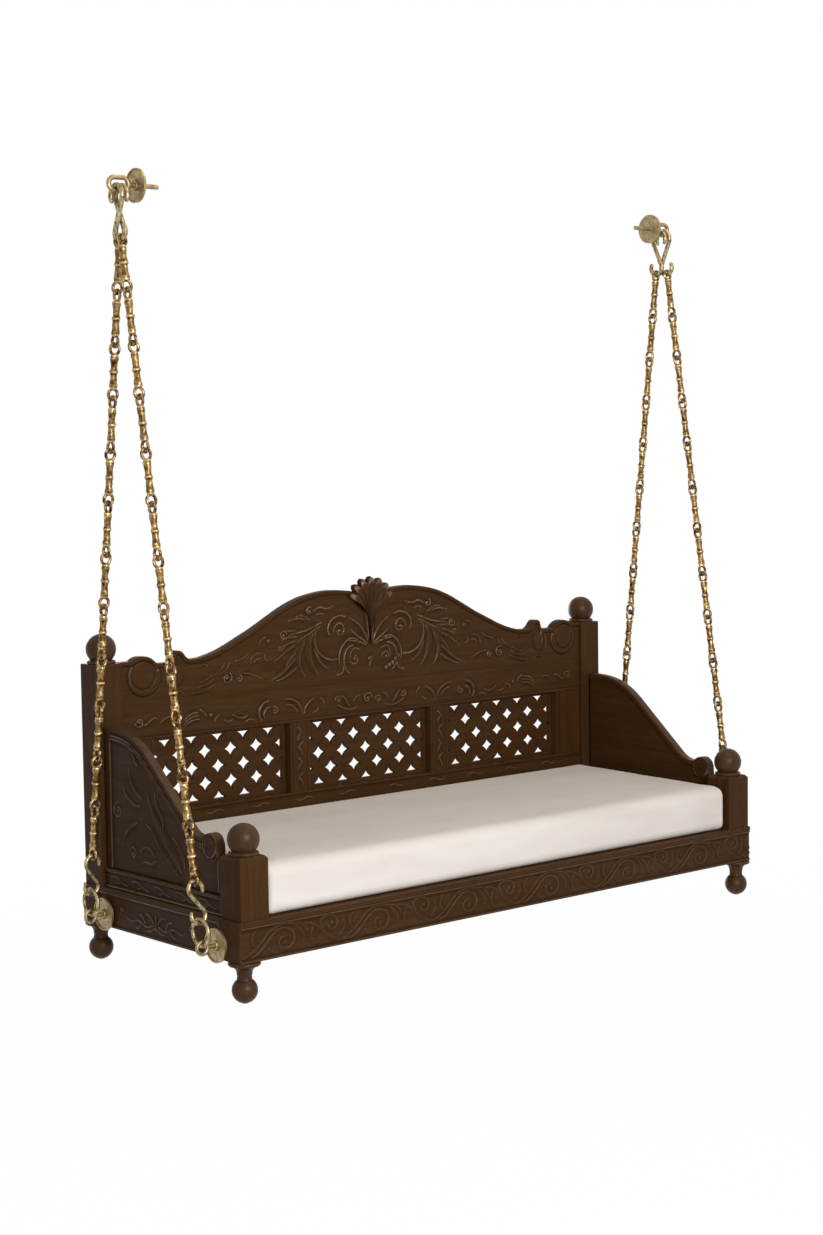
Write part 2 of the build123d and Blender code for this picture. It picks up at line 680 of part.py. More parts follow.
# Along an anchor's own +Z: nut and washer inside the rail, shank, then the eye.
inner_face = -side_rail_thick
with BuildPart() as anchor_eye:
    Torus(eye_radius, eye_wire / 2, rotation=(90, 0, 0))
    shank_top = -eye_radius
    shank_low = inner_face - washer_thick - nut_height - bolt_end - eye_reach
    with Locations((0, 0, (shank_top + shank_low) / 2)):
        Cylinder(eye_shank_dia / 2, shank_top - shank_low)
with BuildPart() as anchor_eyes:
    with Locations(*[frame * Location((0, 0, eye_reach)) for frame in anchor_frames]):
        add(anchor_eye.part)
save(anchor_eyes, "anchor_eyes")

with BuildPart() as nut:
    with BuildSketch(Plane.XY.offset(inner_face - washer_thick - nut_height)):
        RegularPolygon(nut_width / 2, 6, major_radius=False)
        Circle(eye_shank_dia / 2 + 0.02, mode=Mode.SUBTRACT)
    extrude(amount=nut_height)
with BuildPart() as washer:
    with BuildSketch(Plane.XY.offset(inner_face - washer_thick)):
        Circle(washer_dia / 2)
        Circle(eye_shank_dia / 2 + bolt_gap, mode=Mode.SUBTRACT)
    extrude(amount=washer_thick)
for name, piece in (("anchor_nuts", nut), ("anchor_washers", washer)):
    with BuildPart() as group:
        with Locations(*anchor_frames):
            add(piece.part)
    save(group, name)

with BuildPart() as screw:
    with BuildSketch(Plane.XZ):
        with BuildLine():
            rim = (screw_head_dia / 2, plate_thick)
            crown = (0, plate_thick + screw_head_height)
            Polyline(crown, (0, plate_thick - screw_length), (screw_dia / 2, plate_thick - screw_length),
                     (screw_dia / 2, plate_thick), rim)
            RadiusArc(rim, crown, -(rim[0] ** 2 + screw_head_height ** 2) / (2 * screw_head_height))
        make_face()
    revolve(axis=Axis.Z)
with BuildPart() as plate_screws:
    with Locations(*anchor_frames):
        with PolarLocations(screw_pcd / 2, screw_count, start_angle=45):
            add(screw.part)
save(plate_screws, "plate_screws")

with BuildPart() as ledger_screws:
    for low, high, outward in ledger_spans:
        inner = high if outward < 0 else low
        for x in ledger_screw_xs:
            with Locations(Location((x, inner, ledger_screw_z), (-90 * outward, 0, 0))):
                Cylinder(screw_dia / 2, ledger_width, align=(Align.CENTER, Align.CENTER, Align.MIN))
                Cylinder(screw_head_dia / 2, 2.5, align=(Align.CENTER, Align.CENTER, Align.MAX))
save(ledger_screws, "ledger_screws")


# ---------------------------------------------------------------- wire work
def s_hook(wire, height, top_bend, low_bend):
    """An S of round wire in the XZ plane; the lowest point of its middle line is the origin."""
    length = height - wire
    spread = asin((top_bend + low_bend) / (length - top_bend - low_bend))
    turn = 180 + hook_tip_angle + degrees(spread)
    top_centre = (0, length - top_bend)
    low_centre = (0, low_bend)
    with BuildPart() as hook:
        with BuildLine(Plane.XZ) as path:
            upper = CenterArc(top_centre, top_bend, -hook_tip_angle, turn)
            lower = CenterArc(low_centre, low_bend, 180 - hook_tip_angle, turn)
            Line(upper @ 1, lower @ 1)
        ends = (upper @ 0, lower @ 0)
        with BuildSketch(Plane(upper @ 0, z_dir=upper % 0)):
            Circle(wire / 2)
        sweep(path=path.wires()[0])
        with Locations(*ends):
            Sphere(wire / 2)
    return hook


def loop_end(radius, straight, wire):
    """A closed loop of wire in the XZ plane: two round ends joined by straight sides along Z."""
    with BuildPart() as loop:
        with BuildLine(Plane.XZ) as path:
            low = CenterArc((0, 0), radius, 180, 180)
            high = CenterArc((0, straight), radius, 0, 180)
            Line(low @ 1, high @ 0)
            Line(high @ 1, low @ 0)
        with BuildSketch(Plane(low @ 0, z_dir=low % 0)):
            Circle(wire / 2)
        sweep(path=path.wires()[0])
    return loop


# The eye on the beam is a long loop, wide enough for two hooks side by side.
with BuildPart() as beam_eye:
    long_loop = loop_end(beam_eye_end_radius, beam_eye_straight, beam_eye_wire)
    with Locations(Location((-beam_eye_straight / 2, 0, beam_eye_end_radius), (0, 90, 0))):
        add(long_loop.part)
    shank_start = beam_eye_straight / 2 + beam_eye_end_radius
    shank_end = beam_plate_reach + plate_thick + beam_stud_length
    with Locations(Location((shank_start, 0, beam_eye_end_radius), (0, 90, 0))):
        Cylinder(eye_shank_dia / 2, shank_end - shank_start,
                 align=(Align.CENTER, Align.CENTER, Align.MIN))

beam_frames = {"left": Location((-hang_x, hang_y, beam_eye_height)),
               "right": Location((hang_x, hang_y, beam_eye_height), (0, 0, 180))}
with BuildPart() as beam_eyes:
    with Locations(*beam_frames.values()):
        add(beam_eye.part)
save(beam_eyes, "beam_eyes")

plate_turn = Location((beam_plate_reach + plate_thick, 0, beam_eye_end_radius), (0, -90, 0))
with BuildPart() as beam_plates:
    with Locations(*[frame * plate_turn for frame in beam_frames.values()]):
        add(plate.part)
save(beam_plates, "beam_plates")

# One strand runs straight from an anchor eye to a beam eye:
# ring, lower hook, chain and upper hook lie along it one after another.
ring_radius = (ring_dia - ring_wire) / 2
ring_rest_z = anchor_z + eye_radius - eye_wire / 2 - ring_wire / 2 - link_gap
hook_start = 2 * ring_radius - (ring_wire + hook_wire) / 2 - link_gap
chain_start = hook_start + hook_height - hook_wire - (hook_wire + link_wire) / 2 - link_gap
beam_hook_length = beam_hook_height - beam_hook_wire

lower_hook = s_hook(hook_wire, hook_height, hook_bend, hook_bend)
upper_hook = s_hook(beam_hook_wire, beam_hook_height, beam_hook_top_bend, beam_hook_low_bend)
with BuildPart() as ring:
    with Locations((0, 0, ring_radius)):
        Torus(ring_radius, ring_wire / 2, rotation=(0, 90, 0))


def strand(side, end):
    """Frame at the foot of a strand, its Z along the strand, and the strand's length."""
    step = 1 if end == "front" else -1
    low = Vector(side * hang_x, anchor_ys[end], ring_rest_z)
    high = Vector(side * (hang_x + step * beam_hook_spacing / 2), hang_y, beam_eye_height)
    frame = Plane(low, x_dir=(1, 0, 0), z_dir=high - low).location
    return frame, (high - low).length


def chain_link(length):
    """A turned bar with a middle bead and a loop at each end; its middle is the origin."""
    inner = length / 2 - 2 * loop_radius - loop_straight
    with BuildPart() as link:
        with BuildSketch(Plane.XZ):
            with BuildLine():
                profile = [(bar_bead_dia / 2, bar_bead_width / 2 - 1), (bar_waist_dia / 2, bar_bead_width),
                           (bar_swell_dia / 2, inner * 0.6), (bar_neck_dia / 2, inner + 1)]
                Spline(*profile, tangents=((0, 1), (-0.2, 1)))
                Spline(*[(x, -z) for x, z in profile], tangents=((0, -1), (-0.2, -1)))
                Line((bar_bead_dia / 2, -bar_bead_width / 2 + 1), (bar_bead_dia / 2, bar_bead_width / 2 - 1))
                Polyline((bar_neck_dia / 2, inner + 1), (0, inner + 1), (0, -inner - 1),
                         (bar_neck_dia / 2, -inner - 1))
            make_face()
        revolve(axis=Axis.Z)
        loop = loop_end(loop_radius, loop_straight, link_wire)
        with Locations((0, 0, inner + loop_radius), (0, 0, -length / 2 + loop_radius)):
            add(loop.part)
    return link


for name, side in SIDES.items():
    frames = {end: strand(side, end) for end in anchor_ys}
    with BuildPart() as rings:
        with Locations(*[frame for frame, _ in frames.values()]):
            add(ring.part)
    save(rings, f"lower_rings_{name}")
    with BuildPart() as lower_hooks:
        with Locations(*[frame * Location((0, 0, hook_start)) for frame, _ in frames.values()]):
            add(lower_hook.part)
    save(lower_hooks, f"lower_hooks_{name}")
    for end, (frame, length) in frames.items():
        beam_hook_start = length + (beam_eye_wire + beam_hook_wire) / 2 + link_gap - beam_hook_length
        chain_end = beam_hook_start + (beam_hook_wire + link_wire) / 2 + sway_gap
        overlap = link_wire + link_gap
        link_length = (chain_end - chain_start + (link_count - 1) * overlap) / link_count
        link = chain_link(link_length)
        with BuildPart() as chain:
            for i in range(link_count):
                middle = chain_start + link_length / 2 + i * (link_length - overlap)
                turn = 90 if i % 2 == 0 else 0
                with Locations(frame * Location((0, 0, middle), (0, 0, turn))):
                    add(link.part)
        save(chain, f"chain_{end}_{name}")
        turn = 90 if end == "front" else -90
        with BuildPart() as hook:
            with Locations(frame * Location((0, 0, beam_hook_start), (0, 0, turn))):
                add(upper_hook.part)
        save(hook, f"beam_hook_{end}_{name}")
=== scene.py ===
"""Jhoola: a carved hardwood swing bench that hangs on four strands of cast brass links.

Sizes are millimetres in the object's own frame, +Z up, +Y to the back, +X to the right seen
from the front, and become metres when a piece is made.
"""

from math import cos, pi, radians, sin

import bmesh
import bpy
import numpy as np
from mathutils import Matrix, Vector


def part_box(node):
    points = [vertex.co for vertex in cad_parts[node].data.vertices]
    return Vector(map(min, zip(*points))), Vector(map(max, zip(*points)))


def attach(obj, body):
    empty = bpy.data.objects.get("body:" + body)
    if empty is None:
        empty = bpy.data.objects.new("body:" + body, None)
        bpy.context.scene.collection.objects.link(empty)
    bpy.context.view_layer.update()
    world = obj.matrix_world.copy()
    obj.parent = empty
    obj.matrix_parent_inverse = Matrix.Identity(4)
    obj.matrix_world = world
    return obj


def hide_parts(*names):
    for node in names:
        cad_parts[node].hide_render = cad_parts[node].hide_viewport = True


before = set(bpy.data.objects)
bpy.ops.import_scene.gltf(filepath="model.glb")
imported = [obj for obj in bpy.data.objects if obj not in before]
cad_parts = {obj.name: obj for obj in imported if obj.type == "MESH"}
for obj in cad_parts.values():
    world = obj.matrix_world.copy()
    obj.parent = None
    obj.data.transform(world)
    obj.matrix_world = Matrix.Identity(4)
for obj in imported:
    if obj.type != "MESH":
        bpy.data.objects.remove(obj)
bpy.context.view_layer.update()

# ---------------------------------------------------------------- front rail
# A heavy rail of dark polished walnut under the seat's front edge. A plain ledge runs along its
# top, and below it a running vine is carved in low relief, its crests painted pale, partly wear from hands
# and partly a painted highlight.
SEAT = 199.0
RAIL_LOW = 100.0
END_X = 915.0
GROUND = 4.0
RAIL_FACE, RAIL_THICK = -342.0, 75.0
CURVE_STEPS = 14


def linear(colour):
    """A hex colour as linear RGBA: c / 12.92 up to 0.04045, above it ((c + 0.055) / 1.055) ** 2.4."""
    channels = [int(colour[i:i + 2], 16) / 255 for i in (1, 3, 5)]
    return [c / 12.92 if c <= 0.04045 else ((c + 0.055) / 1.055) ** 2.4 for c in channels] + [1.0]


def add_node(tree, kind, sockets=(), **settings):
    """Add a shader node; a socket's value is a number, a colour, or the output to link to it, where a
    node stands for its first output."""
    node = tree.nodes.new("ShaderNode" + kind)
    stops = settings.pop("stops", None)
    for key, value in settings.items():
        setattr(node, key, value)
    if stops:
        ramp = node.color_ramp
        while len(ramp.elements) < len(stops):
            ramp.elements.new(0.5)
        for element, (position, colour) in zip(ramp.elements, stops):
            element.position = position
            element.color = colour if len(colour) == 4 else (*colour, 1.0)
    for key, value in dict(sockets).items():
        if isinstance(value, bpy.types.Node):
            value = value.outputs[0]
        if isinstance(value, bpy.types.NodeSocket):
            tree.links.new(value, node.inputs[key])
        else:
            node.inputs[key].default_value = value
    return node


def grey(value):
    """A linear grey as RGBA."""
    return (value, value, value, 1.0)


def new_finish(name):
    """An empty material, its node tree, and the object coordinates that its textures are laid out in."""
    finish = bpy.data.materials.new(name)
    finish.use_nodes = True
    finish.node_tree.nodes.clear()
    return finish, finish.node_tree, add_node(finish.node_tree, "TexCoord").outputs["Object"]


def polished_walnut(name, along, worn=0.0, polish=0.06):
    """Oiled dark walnut, planed and hand rubbed: long dark streaks along the grain, fine pores,
    reddish heartwood patches, hollows darkened as painted shade, and pale crests, a painted highlight with
    some wear where the finish has worn off."""
    finish, tree, place = new_finish(name)
    # streaks about 8 mm wide and 200 mm long, pores 0.8 mm wide and 20 mm long, drawn a little coarse
    streak_scale = [60.0, 60.0, 60.0]
    pore_scale = [520.0, 520.0, 520.0]
    streak_scale["xyz".index(along)] = 3.0
    pore_scale["xyz".index(along)] = 26.0
    streak_at = add_node(tree, "Mapping", {"Vector": place, "Scale": streak_scale})
    pore_at = add_node(tree, "Mapping", {"Vector": place, "Scale": pore_scale})
    streak = add_node(tree, "TexNoise", {"Vector": streak_at, "Scale": 1.0, "Detail": 5.0,
                                         "Roughness": 0.6, "Distortion": 0.5})
    pore = add_node(tree, "TexNoise", {"Vector": pore_at, "Scale": 1.0, "Detail": 3.0, "Roughness": 0.55})
    patch = add_node(tree, "TexNoise", {"Vector": place, "Scale": 7.0, "Detail": 3.0, "Roughness": 0.5})
    rubbed = add_node(tree, "TexNoise", {"Vector": place, "Scale": 38.0, "Detail": 4.0, "Roughness": 0.65})
    body = add_node(tree, "ValToRGB", {"Fac": streak.outputs["Fac"]}, stops=[
        (0.25, linear("#392511")), (0.5, linear("#412b16")), (0.75, linear("#49321c"))])
    pores = add_node(tree, "ValToRGB", {"Fac": pore.outputs["Fac"]}, stops=[
        (0.34, grey(0.74)), (0.5, grey(1.0))])
    veined = add_node(tree, "Mix", {"Factor": 1.0, 6: body, 7: pores},
                      data_type="RGBA", blend_type="MULTIPLY")
    red = add_node(tree, "MapRange", {"Value": patch.outputs["Fac"], "From Min": 0.48,
                                      "From Max": 0.72, "To Max": 0.2})
    warm = add_node(tree, "Mix", {"Factor": red, 6: veined.outputs[2],
                                  7: linear("#43240f")}, data_type="RGBA")
    relief = add_node(tree, "Attribute", attribute_name="relief").outputs["Fac"]
    # painted shade: where the relief falls into hollows the colour goes towards #1c1007
    hollow_shade_mask = add_node(tree, "MapRange", {"Value": relief, "From Min": 0.0, "From Max": -0.7,
                                         "To Max": 0.62})
    painted_hollow_shade = add_node(tree, "Mix", {"Factor": hollow_shade_mask, 6: warm.outputs[2],
                                  7: linear("#1c1007")}, data_type="RGBA")
    # pale crests, a painted highlight with some wear: where the relief rises, and everywhere by worn, the
    # colour goes towards #8a6f4d
    crest = add_node(tree, "MapRange", {"Value": relief, "From Min": 0.25, "From Max": 1.2,
                                        "To Min": worn, "To Max": 0.6})
    patchy = add_node(tree, "MapRange", {"Value": rubbed.outputs["Fac"], "From Min": 0.36,
                                         "From Max": 0.6, "To Min": 0.25})
    crest_wear_and_highlight = add_node(tree, "Math", {0: crest, 1: patchy}, operation="MULTIPLY")
    tone = add_node(tree, "Mix", {"Factor": crest_wear_and_highlight, 6: painted_hollow_shade.outputs[2],
                                  7: linear("#8a6f4d")}, data_type="RGBA")
    gloss = add_node(tree, "MapRange", {"Value": streak.outputs["Fac"], "From Min": 0.3,
                                        "From Max": 0.7, "To Min": 0.46, "To Max": 0.34})
    grain = add_node(tree, "Bump", {"Height": pore.outputs["Fac"], "Strength": 0.28, "Distance": 0.0006})
    tooled = add_node(tree, "Bump", {"Height": rubbed.outputs["Fac"], "Strength": 0.35,
                                     "Distance": 0.0012, "Normal": grain})
    # crests are rubbed smooth, the ground stays matt
    smoothed = add_node(tree, "Math", {0: crest, 1: -0.22, 2: gloss}, operation="MULTIPLY_ADD")
    shine = add_node(tree, "Math", {0: crest, 1: 0.7, 2: polish}, operation="MULTIPLY_ADD")
    shader = add_node(tree, "BsdfPrincipled", {
        "Base Color": tone.outputs[2], "Roughness": smoothed, "Normal": tooled,
        "Specular IOR Level": shine})
    add_node(tree, "OutputMaterial", {"Surface": shader})
    return finish


walnut = {axis: polished_walnut(f"polished_walnut_{axis}", axis) for axis in "xyz"}
# the finish for arrises: paled throughout, a painted highlight with some wear
arris_wear_and_highlight = polished_walnut("walnut_arris_wear_and_highlight", "x", worn=0.12)
handled_walnut = polished_walnut("handled_walnut", "z", polish=0.16)


def curve_through(points):
    """Catmull-Rom curve: between two points, the cubic blend of the four points about them."""
    p = np.asarray(points, float)
    p = np.vstack([2 * p[0] - p[1], p, 2 * p[-1] - p[-2]])
    t = np.linspace(0, 1, CURVE_STEPS, endpoint=False)[None, :, None]
    a, b, c, d = (p[i:len(p) - 3 + i][:, None, :] for i in range(4))
    curve = 0.5 * (2 * b + (c - a) * t + (2 * a - 5 * b + 4 * c - d) * t ** 2
                   + (3 * b - a - 3 * c + d) * t ** 3)
    return np.vstack([curve.reshape(-1, p.shape[1]), p[-2]])


def smooth_step(x):
    """3 x ** 2 - 2 x ** 3 on x clipped to 0..1."""
    x = np.clip(x, 0, 1)
    return x * x * (3 - 2 * x)


def board_grid(u, low, high, rows):
    """A board's face as a grid: u runs along it, v rises from low(u) to high(u) by the shares in rows;
    h is the carving's height above the ground, zero to start with."""
    uu = u[:, None] + 0 * rows[None, :]
    vv = low[:, None] + (high - low)[:, None] * rows[None, :]
    return {"u": uu, "v": vv, "h": 0 * vv, "low": low, "high": high}


def plain_board(u, rows):
    """A board's face of even width, from the first to the last of the heights in rows."""
    ends = (np.full(len(u), rows[i]) for i in (0, -1))
    return board_grid(u, *ends, (rows - rows[0]) / (rows[-1] - rows[0]))


def cut_leaf(board, points, width, rise=4.0, lean=0.0, form=(0.4, 0.8), vein=0.0):
    """Raise a leaf or a stem along a curve. Its half width is width / 2 times a ** p * (1 - a) ** q,
    scaled to one, at the share a of its length. Across it the height rises from both edges to a ridge,
    rise * s ** 0.8 at the share s of the way; lean puts the ridge off the middle, and a thin cut sets
    the leaf off from what lies under it."""
    spine = curve_through(points)
    run = np.concatenate([[0], np.cumsum(np.hypot(*np.diff(spine, axis=0).T))])
    share = run / run[-1]
    p, q = form
    swell = share ** p * (1 - share) ** q / ((p / (p + q)) ** p * (q / (p + q)) ** q)
    half = width / 2 * swell
    heading = np.gradient(spine, axis=0)
    heading /= np.hypot(*heading.T)[:, None]
    margin = width / 2 + 3
    near = ((board["u"] > spine[:, 0].min() - margin) & (board["u"] < spine[:, 0].max() + margin)
            & (board["v"] > spine[:, 1].min() - margin) & (board["v"] < spine[:, 1].max() + margin))
    if not near.any():
        return
    at = np.stack([board["u"][near], board["v"][near]], axis=1)
    away = at[:, None, :] - spine[None, :, :]
    reach = (away ** 2).sum(axis=2)
    closest = reach.argmin(axis=1)
    offset = away[np.arange(len(at)), closest]
    across = heading[closest, 0] * offset[:, 1] - heading[closest, 1] * offset[:, 0]
    distance = np.sqrt(reach[np.arange(len(at)), closest])
    wide = np.maximum(half[closest], 0.01)
    q_across = np.clip(distance / wide, 0, 50) * np.sign(across)
    flank = np.where(q_across < lean, (1 + q_across) / (1 + lean), (1 - q_across) / (1 - lean))
    ridged = np.clip(flank, 0, 1) ** 0.8
    length_fall = 0.4 + 0.6 * np.sqrt(np.clip(swell[closest], 0, 1))
    height = rise * ridged * length_fall
    if vein:
        height -= vein * np.exp(-(q_across * wide / 1.6) ** 2) * (np.abs(q_across) < 1) * swell[closest]
    cut = np.exp(-((distance - wide) / 1.7) ** 2) * (distance >= wide) * (wide > 0.8)
    under = board["h"][near] * (1 - 0.65 * cut) - 0.7 * cut
    board["h"][near] = np.where(distance < wide, np.maximum(height, 0.35 * under), under)


def cut_leaves(board, rows, origin=(0, 0), way=1, lean_way=None):
    """Cut leaves in turn. A row is a width, a rise, a lean, the curve's points from the origin as
    u, v, u, v, and last a form or vein where it isn't the usual one. Where way is -1, u is mirrored, and
    so is the lean, unless lean_way is 1."""
    for width, rise, lean, offsets, *rest in rows:
        points = [(origin[0] + way * u, origin[1] + v) for u, v in zip(offsets[::2], offsets[1::2])]
        cut_leaf(board, points, width, rise, lean * (way if lean_way is None else lean_way), **dict(*rest))


def cut_bud(board, centre, radius, rise=4.0, squash=1.0):
    """Raise a bud: a dome of height rise * sqrt(1 - (r / radius) ** 2), with a thin cut round it."""
    r = np.hypot(board["u"] - centre[0], (board["v"] - centre[1]) / squash) / radius
    dome = rise * np.sqrt(np.clip(1 - r ** 2, 0, None))
    board["h"] = np.where(r < 1, np.maximum(board["h"] * 0.3, dome), board["h"] - 0.8 * np.exp(
        -((r - 1) * radius / 2.0) ** 2))


def edge_round(distance, radius):
    """Depth of a rounded arris at a distance from the edge: radius - sqrt(radius^2 - (radius - d)^2)."""
    d = np.clip(distance, 0, radius)
    return radius - np.sqrt(np.clip(radius ** 2 - (radius - d) ** 2, 0, None))


def blurred(h, reach):
    """Mean of h over a square window of the grid, the edges held."""
    for axis in (0, 1):
        padded = np.pad(h, [(reach + 1, reach) if i == axis else (0, 0) for i in (0, 1)], mode="edge")
        total = np.cumsum(padded, axis=axis)
        n = h.shape[axis]
        h = (np.take(total, range(2 * reach + 1, 2 * reach + 1 + n), axis)
             - np.take(total, range(n), axis)) / (2 * reach + 1)
    return h


def add_piece(name, points, faces, finish, body, stands_for=(), relief=None, sharp=75):
    """Put a worked-out surface into the scene: millimetres to metres, faces outwards, its relief as an
    attribute that the finish reads for painted shade in hollows and a painted highlight with some wear on
    crests, and its body, slot and CAD nodes named."""
    mesh = bpy.data.meshes.new(name)
    mesh.from_pydata((np.asarray(points) / 1000).tolist(), [], faces)
    if relief is not None:
        layer = mesh.attributes.new("relief", "FLOAT", "POINT")
        layer.data.foreach_set("value", np.asarray(relief, np.float32))
    whole = bmesh.new()
    whole.from_mesh(mesh)
    bmesh.ops.recalc_face_normals(whole, faces=whole.faces)
    whole.to_mesh(mesh)
    whole.free()
    mesh.shade_smooth()
    mesh.set_sharp_from_angle(angle=radians(sharp))
    mesh.materials.append(finish)
    piece = bpy.data.objects.new(name, mesh)
    bpy.context.collection.objects.link(piece)
    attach(piece, body)
    if stands_for:
        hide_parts(*stands_for)
    return piece


def grid_faces(rows, columns, start=0):
    """Quads of a grid whose points are numbered row by row from start."""
    corner = (np.arange(rows - 1)[:, None] * columns + np.arange(columns - 1)[None, :] + start).ravel()
    return np.stack([corner, corner + 1, corner + columns + 1, corner + columns], axis=1).tolist()


def shell_faces(columns, rows, rear_rows):
    """A closed shell: a grid, a second one behind it with its own number of rows, and the walls."""
    start = columns * rows
    faces = grid_faces(columns, rows) + grid_faces(columns, rear_rows, start)
    for i in range(columns - 1):
        for near, rear in ((0, 0), (rows - 1, rear_rows - 1)):
            faces.append([i * rows + near, (i + 1) * rows + near, start + (i + 1) * rear_rows + rear,
                          start + i * rear_rows + rear])
    for i in (0, columns - 1):
        faces.append([i * rows + j for j in range(rows)]
                     + [start + i * rear_rows + j for j in range(rear_rows)][::-1])
    return faces


def carved_board(name, board, thick, place, finish, stands_for, arris=2.0, edge_wear_and_highlight=0.4, back=None):
    """A closed board. Its face is the grid at the depth GROUND - h, rounded at the arris; the back is
    flat at the depth thick, or a second grid; flat walls join the two."""
    u, v, h = board["u"], board["v"], np.minimum(board["h"], GROUND)
    n, m = u.shape
    edge = np.minimum.reduce([v - board["low"][:, None], board["high"][:, None] - v,
                              u - u[0, 0], u[-1, 0] - u])
    depth = np.minimum(GROUND - h + edge_round(edge, arris), thick - 1)
    face = np.stack(place(u, v, depth), axis=-1).reshape(-1, 3)
    # the relief that the finish reads: hollows under the wider mean get painted shade, crests over the
    # close mean and the arrises get a painted highlight with some wear
    relief = (np.minimum(h - blurred(h, 4), 0) / 1.5
              + np.maximum(h - blurred(h, 1), 0) * board.get("worn", 1.0))
    relief = np.where(edge < arris, edge_wear_and_highlight, relief).ravel()
    if back is None:
        low, high = board["low"], board["high"]
        rear = np.stack(place(np.stack([u[:, 0], u[:, 0]], 1), np.stack([low, high], 1),
                              thick + np.zeros((n, 2))), axis=-1).reshape(-1, 3)
        k = 2
        relief = np.concatenate([relief, np.zeros(2 * n)])
    else:
        bh = np.minimum(back["h"], GROUND)
        rear = np.stack(place(u, v, thick - GROUND + bh - edge_round(edge, arris)), axis=-1).reshape(-1, 3)
        k = m
        rear_relief = np.where(edge < arris, edge_wear_and_highlight, np.maximum(bh - blurred(bh, 1), 0))
        relief = np.concatenate([relief, rear_relief.ravel()])
    return add_piece(name, np.vstack([face, rear]), shell_faces(n, m, k), finish, "bench",
                     stands_for, relief)


def along_edges(low, high, step, near=(0.4, 1.0, 2.0)):
    """Stations from low to high about a step apart, with a few closer ones by each end."""
    middle = np.linspace(low + 2 * near[-1], high - 2 * near[-1], max(3, int((high - low) / step)))
    return np.concatenate([[low], low + np.array(near), middle, high - np.array(near)[::-1], [high]])


rail_u = along_edges(-END_X, END_X, 2.6)
rail_rows = along_edges(RAIL_LOW, SEAT, 2.2)
rail = plain_board(rail_u, rail_rows)
vine_period = 296.0
hand_slip = np.random.default_rng(5)
for k in range(7):
    x = -892 + k * vine_period
    t = hand_slip.uniform(-2.5, 2.5, 8)
    # the main stem climbs, turns over and falls again; the climb is cut as two strands
    cut_leaves(rail, [
        (8, 3.0, 0, (206, 160 + t[0], 232, 138, 258, 121, 284, 113, 312, 118), {"form": (0.25, 0.25)}),
        (9, 3.6, 0.3, (-16, 112, 14, 124 + t[1], 42, 146, 66, 168, 96, 178, 128, 177, 162, 172,
                       190, 168, 216, 154), {"form": (0.25, 0.25)}),
        (8, 4.0, 0.3, (6, 110, 32, 122, 54, 140 + t[2], 76, 160, 100, 168), {"form": (0.3, 0.4)}),
        # a scroll curls back under the crest, another one over the trough
        (7.5, 3.6, -0.3, (74, 166, 104, 171, 130, 160, 138, 140, 124, 122, 102, 120, 90, 134, 98, 149,
                          112, 147), {"form": (0.2, 0.35)}),
    ], (x, 0))
    cut_bud(rail, (x + 109, 136), 5.0, 3.4)
    cut_leaves(rail, [(7.0, 3.4, -0.3, (226, 148, 216, 168, 232, 179, 256, 177, 270, 162, 262, 146,
                                        246, 146, 242, 158), {"form": (0.2, 0.35)})], (x, 0))
    cut_bud(rail, (x + 252, 160), 4.6, 3.4)
    # leaves that leave the stem on both sides
    cut_leaves(rail, [
        (9, 3.2, -0.3, (24, 132, 12, 148, 14, 166, 26, 177)),
        (9, 3.2, 0.3, (140, 172, 156, 158, 166, 142, 164, 126)),
        (8, 3.0, 0.3, (152, 174, 172, 160, 186, 142 + t[3])),
        (8, 3.0, -0.3, (196, 160, 188, 140, 196, 122, 210, 114)),
        (7, 2.8, 0, (56, 130, 70, 118, 86, 112)),
        (8, 3.0, 0.3, (272, 124, 288, 138, 292, 156 + t[4], 284, 172)),
    ], (x, 0))
field_v = rail["v"]
ledge = smooth_step((field_v - 181.0) / 2.0) * (1 - 0.5 * np.exp(-((field_v - 186.5) / 1.3) ** 2))
foot_fillet = smooth_step((107.0 - field_v) / 2.5)
rail["h"] = np.maximum.reduce([0.7 * rail["h"], GROUND * ledge, 0.8 * GROUND * foot_fillet])
# a smaller share of the pale crest tone, a painted highlight with some wear, on the vine
rail["worn"] = 0.75
carved_board("front_rail_carved", rail, RAIL_THICK, lambda u, v, d: (u, RAIL_FACE + d, v), walnut["x"],
             ("front_rail",), arris=2.5, edge_wear_and_highlight=0.3)

# ---------------------------------------------------------------- side rails and back rail
# The side rails are tenoned into the long rails and carry the same walnut finish: a plain bead along
# the top and a spray of leaves at the middle. The back rail is plain, planed and slightly eased.


def ease_edges(node, width, finish, edge_finish=None, segments=2):
    """Give a flat-sided CAD node its finish and take off its arrises, which get edge_finish if stated."""
    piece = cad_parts[node]
    piece.data.materials.clear()
    piece.data.materials.append(finish)
    if edge_finish is not None:
        piece.data.materials.append(edge_finish)
    weld = piece.modifiers.new("weld", "WELD")
    weld.merge_threshold = 0.00002
    bevel = piece.modifiers.new("bevel", "BEVEL")
    bevel.width = width / 1000
    bevel.segments = segments
    bevel.limit_method = "ANGLE"
    bevel.angle_limit = radians(40)
    bevel.use_clamp_overlap = True
    bevel.material = 1 if edge_finish is not None else -1
    return piece


def cut_scroll(board, centre, radius, start, turn, width, rise=4.0, turns=1.2):
    """Raise a spiral from the angle start, its radius falling evenly to a quarter; turn is 1 or -1."""
    share = np.linspace(0, 1, 14)
    angle = radians(start) + turn * share * turns * 2 * pi
    r = radius * (1 - 0.75 * share)
    cut_leaf(board, np.stack([centre[0] + r * np.cos(angle), centre[1] + r * np.sin(angle)], axis=1),
             width, rise, form=(0.12, 0.3))
    cut_bud(board, centre, max(radius * 0.24, 2.6), rise)


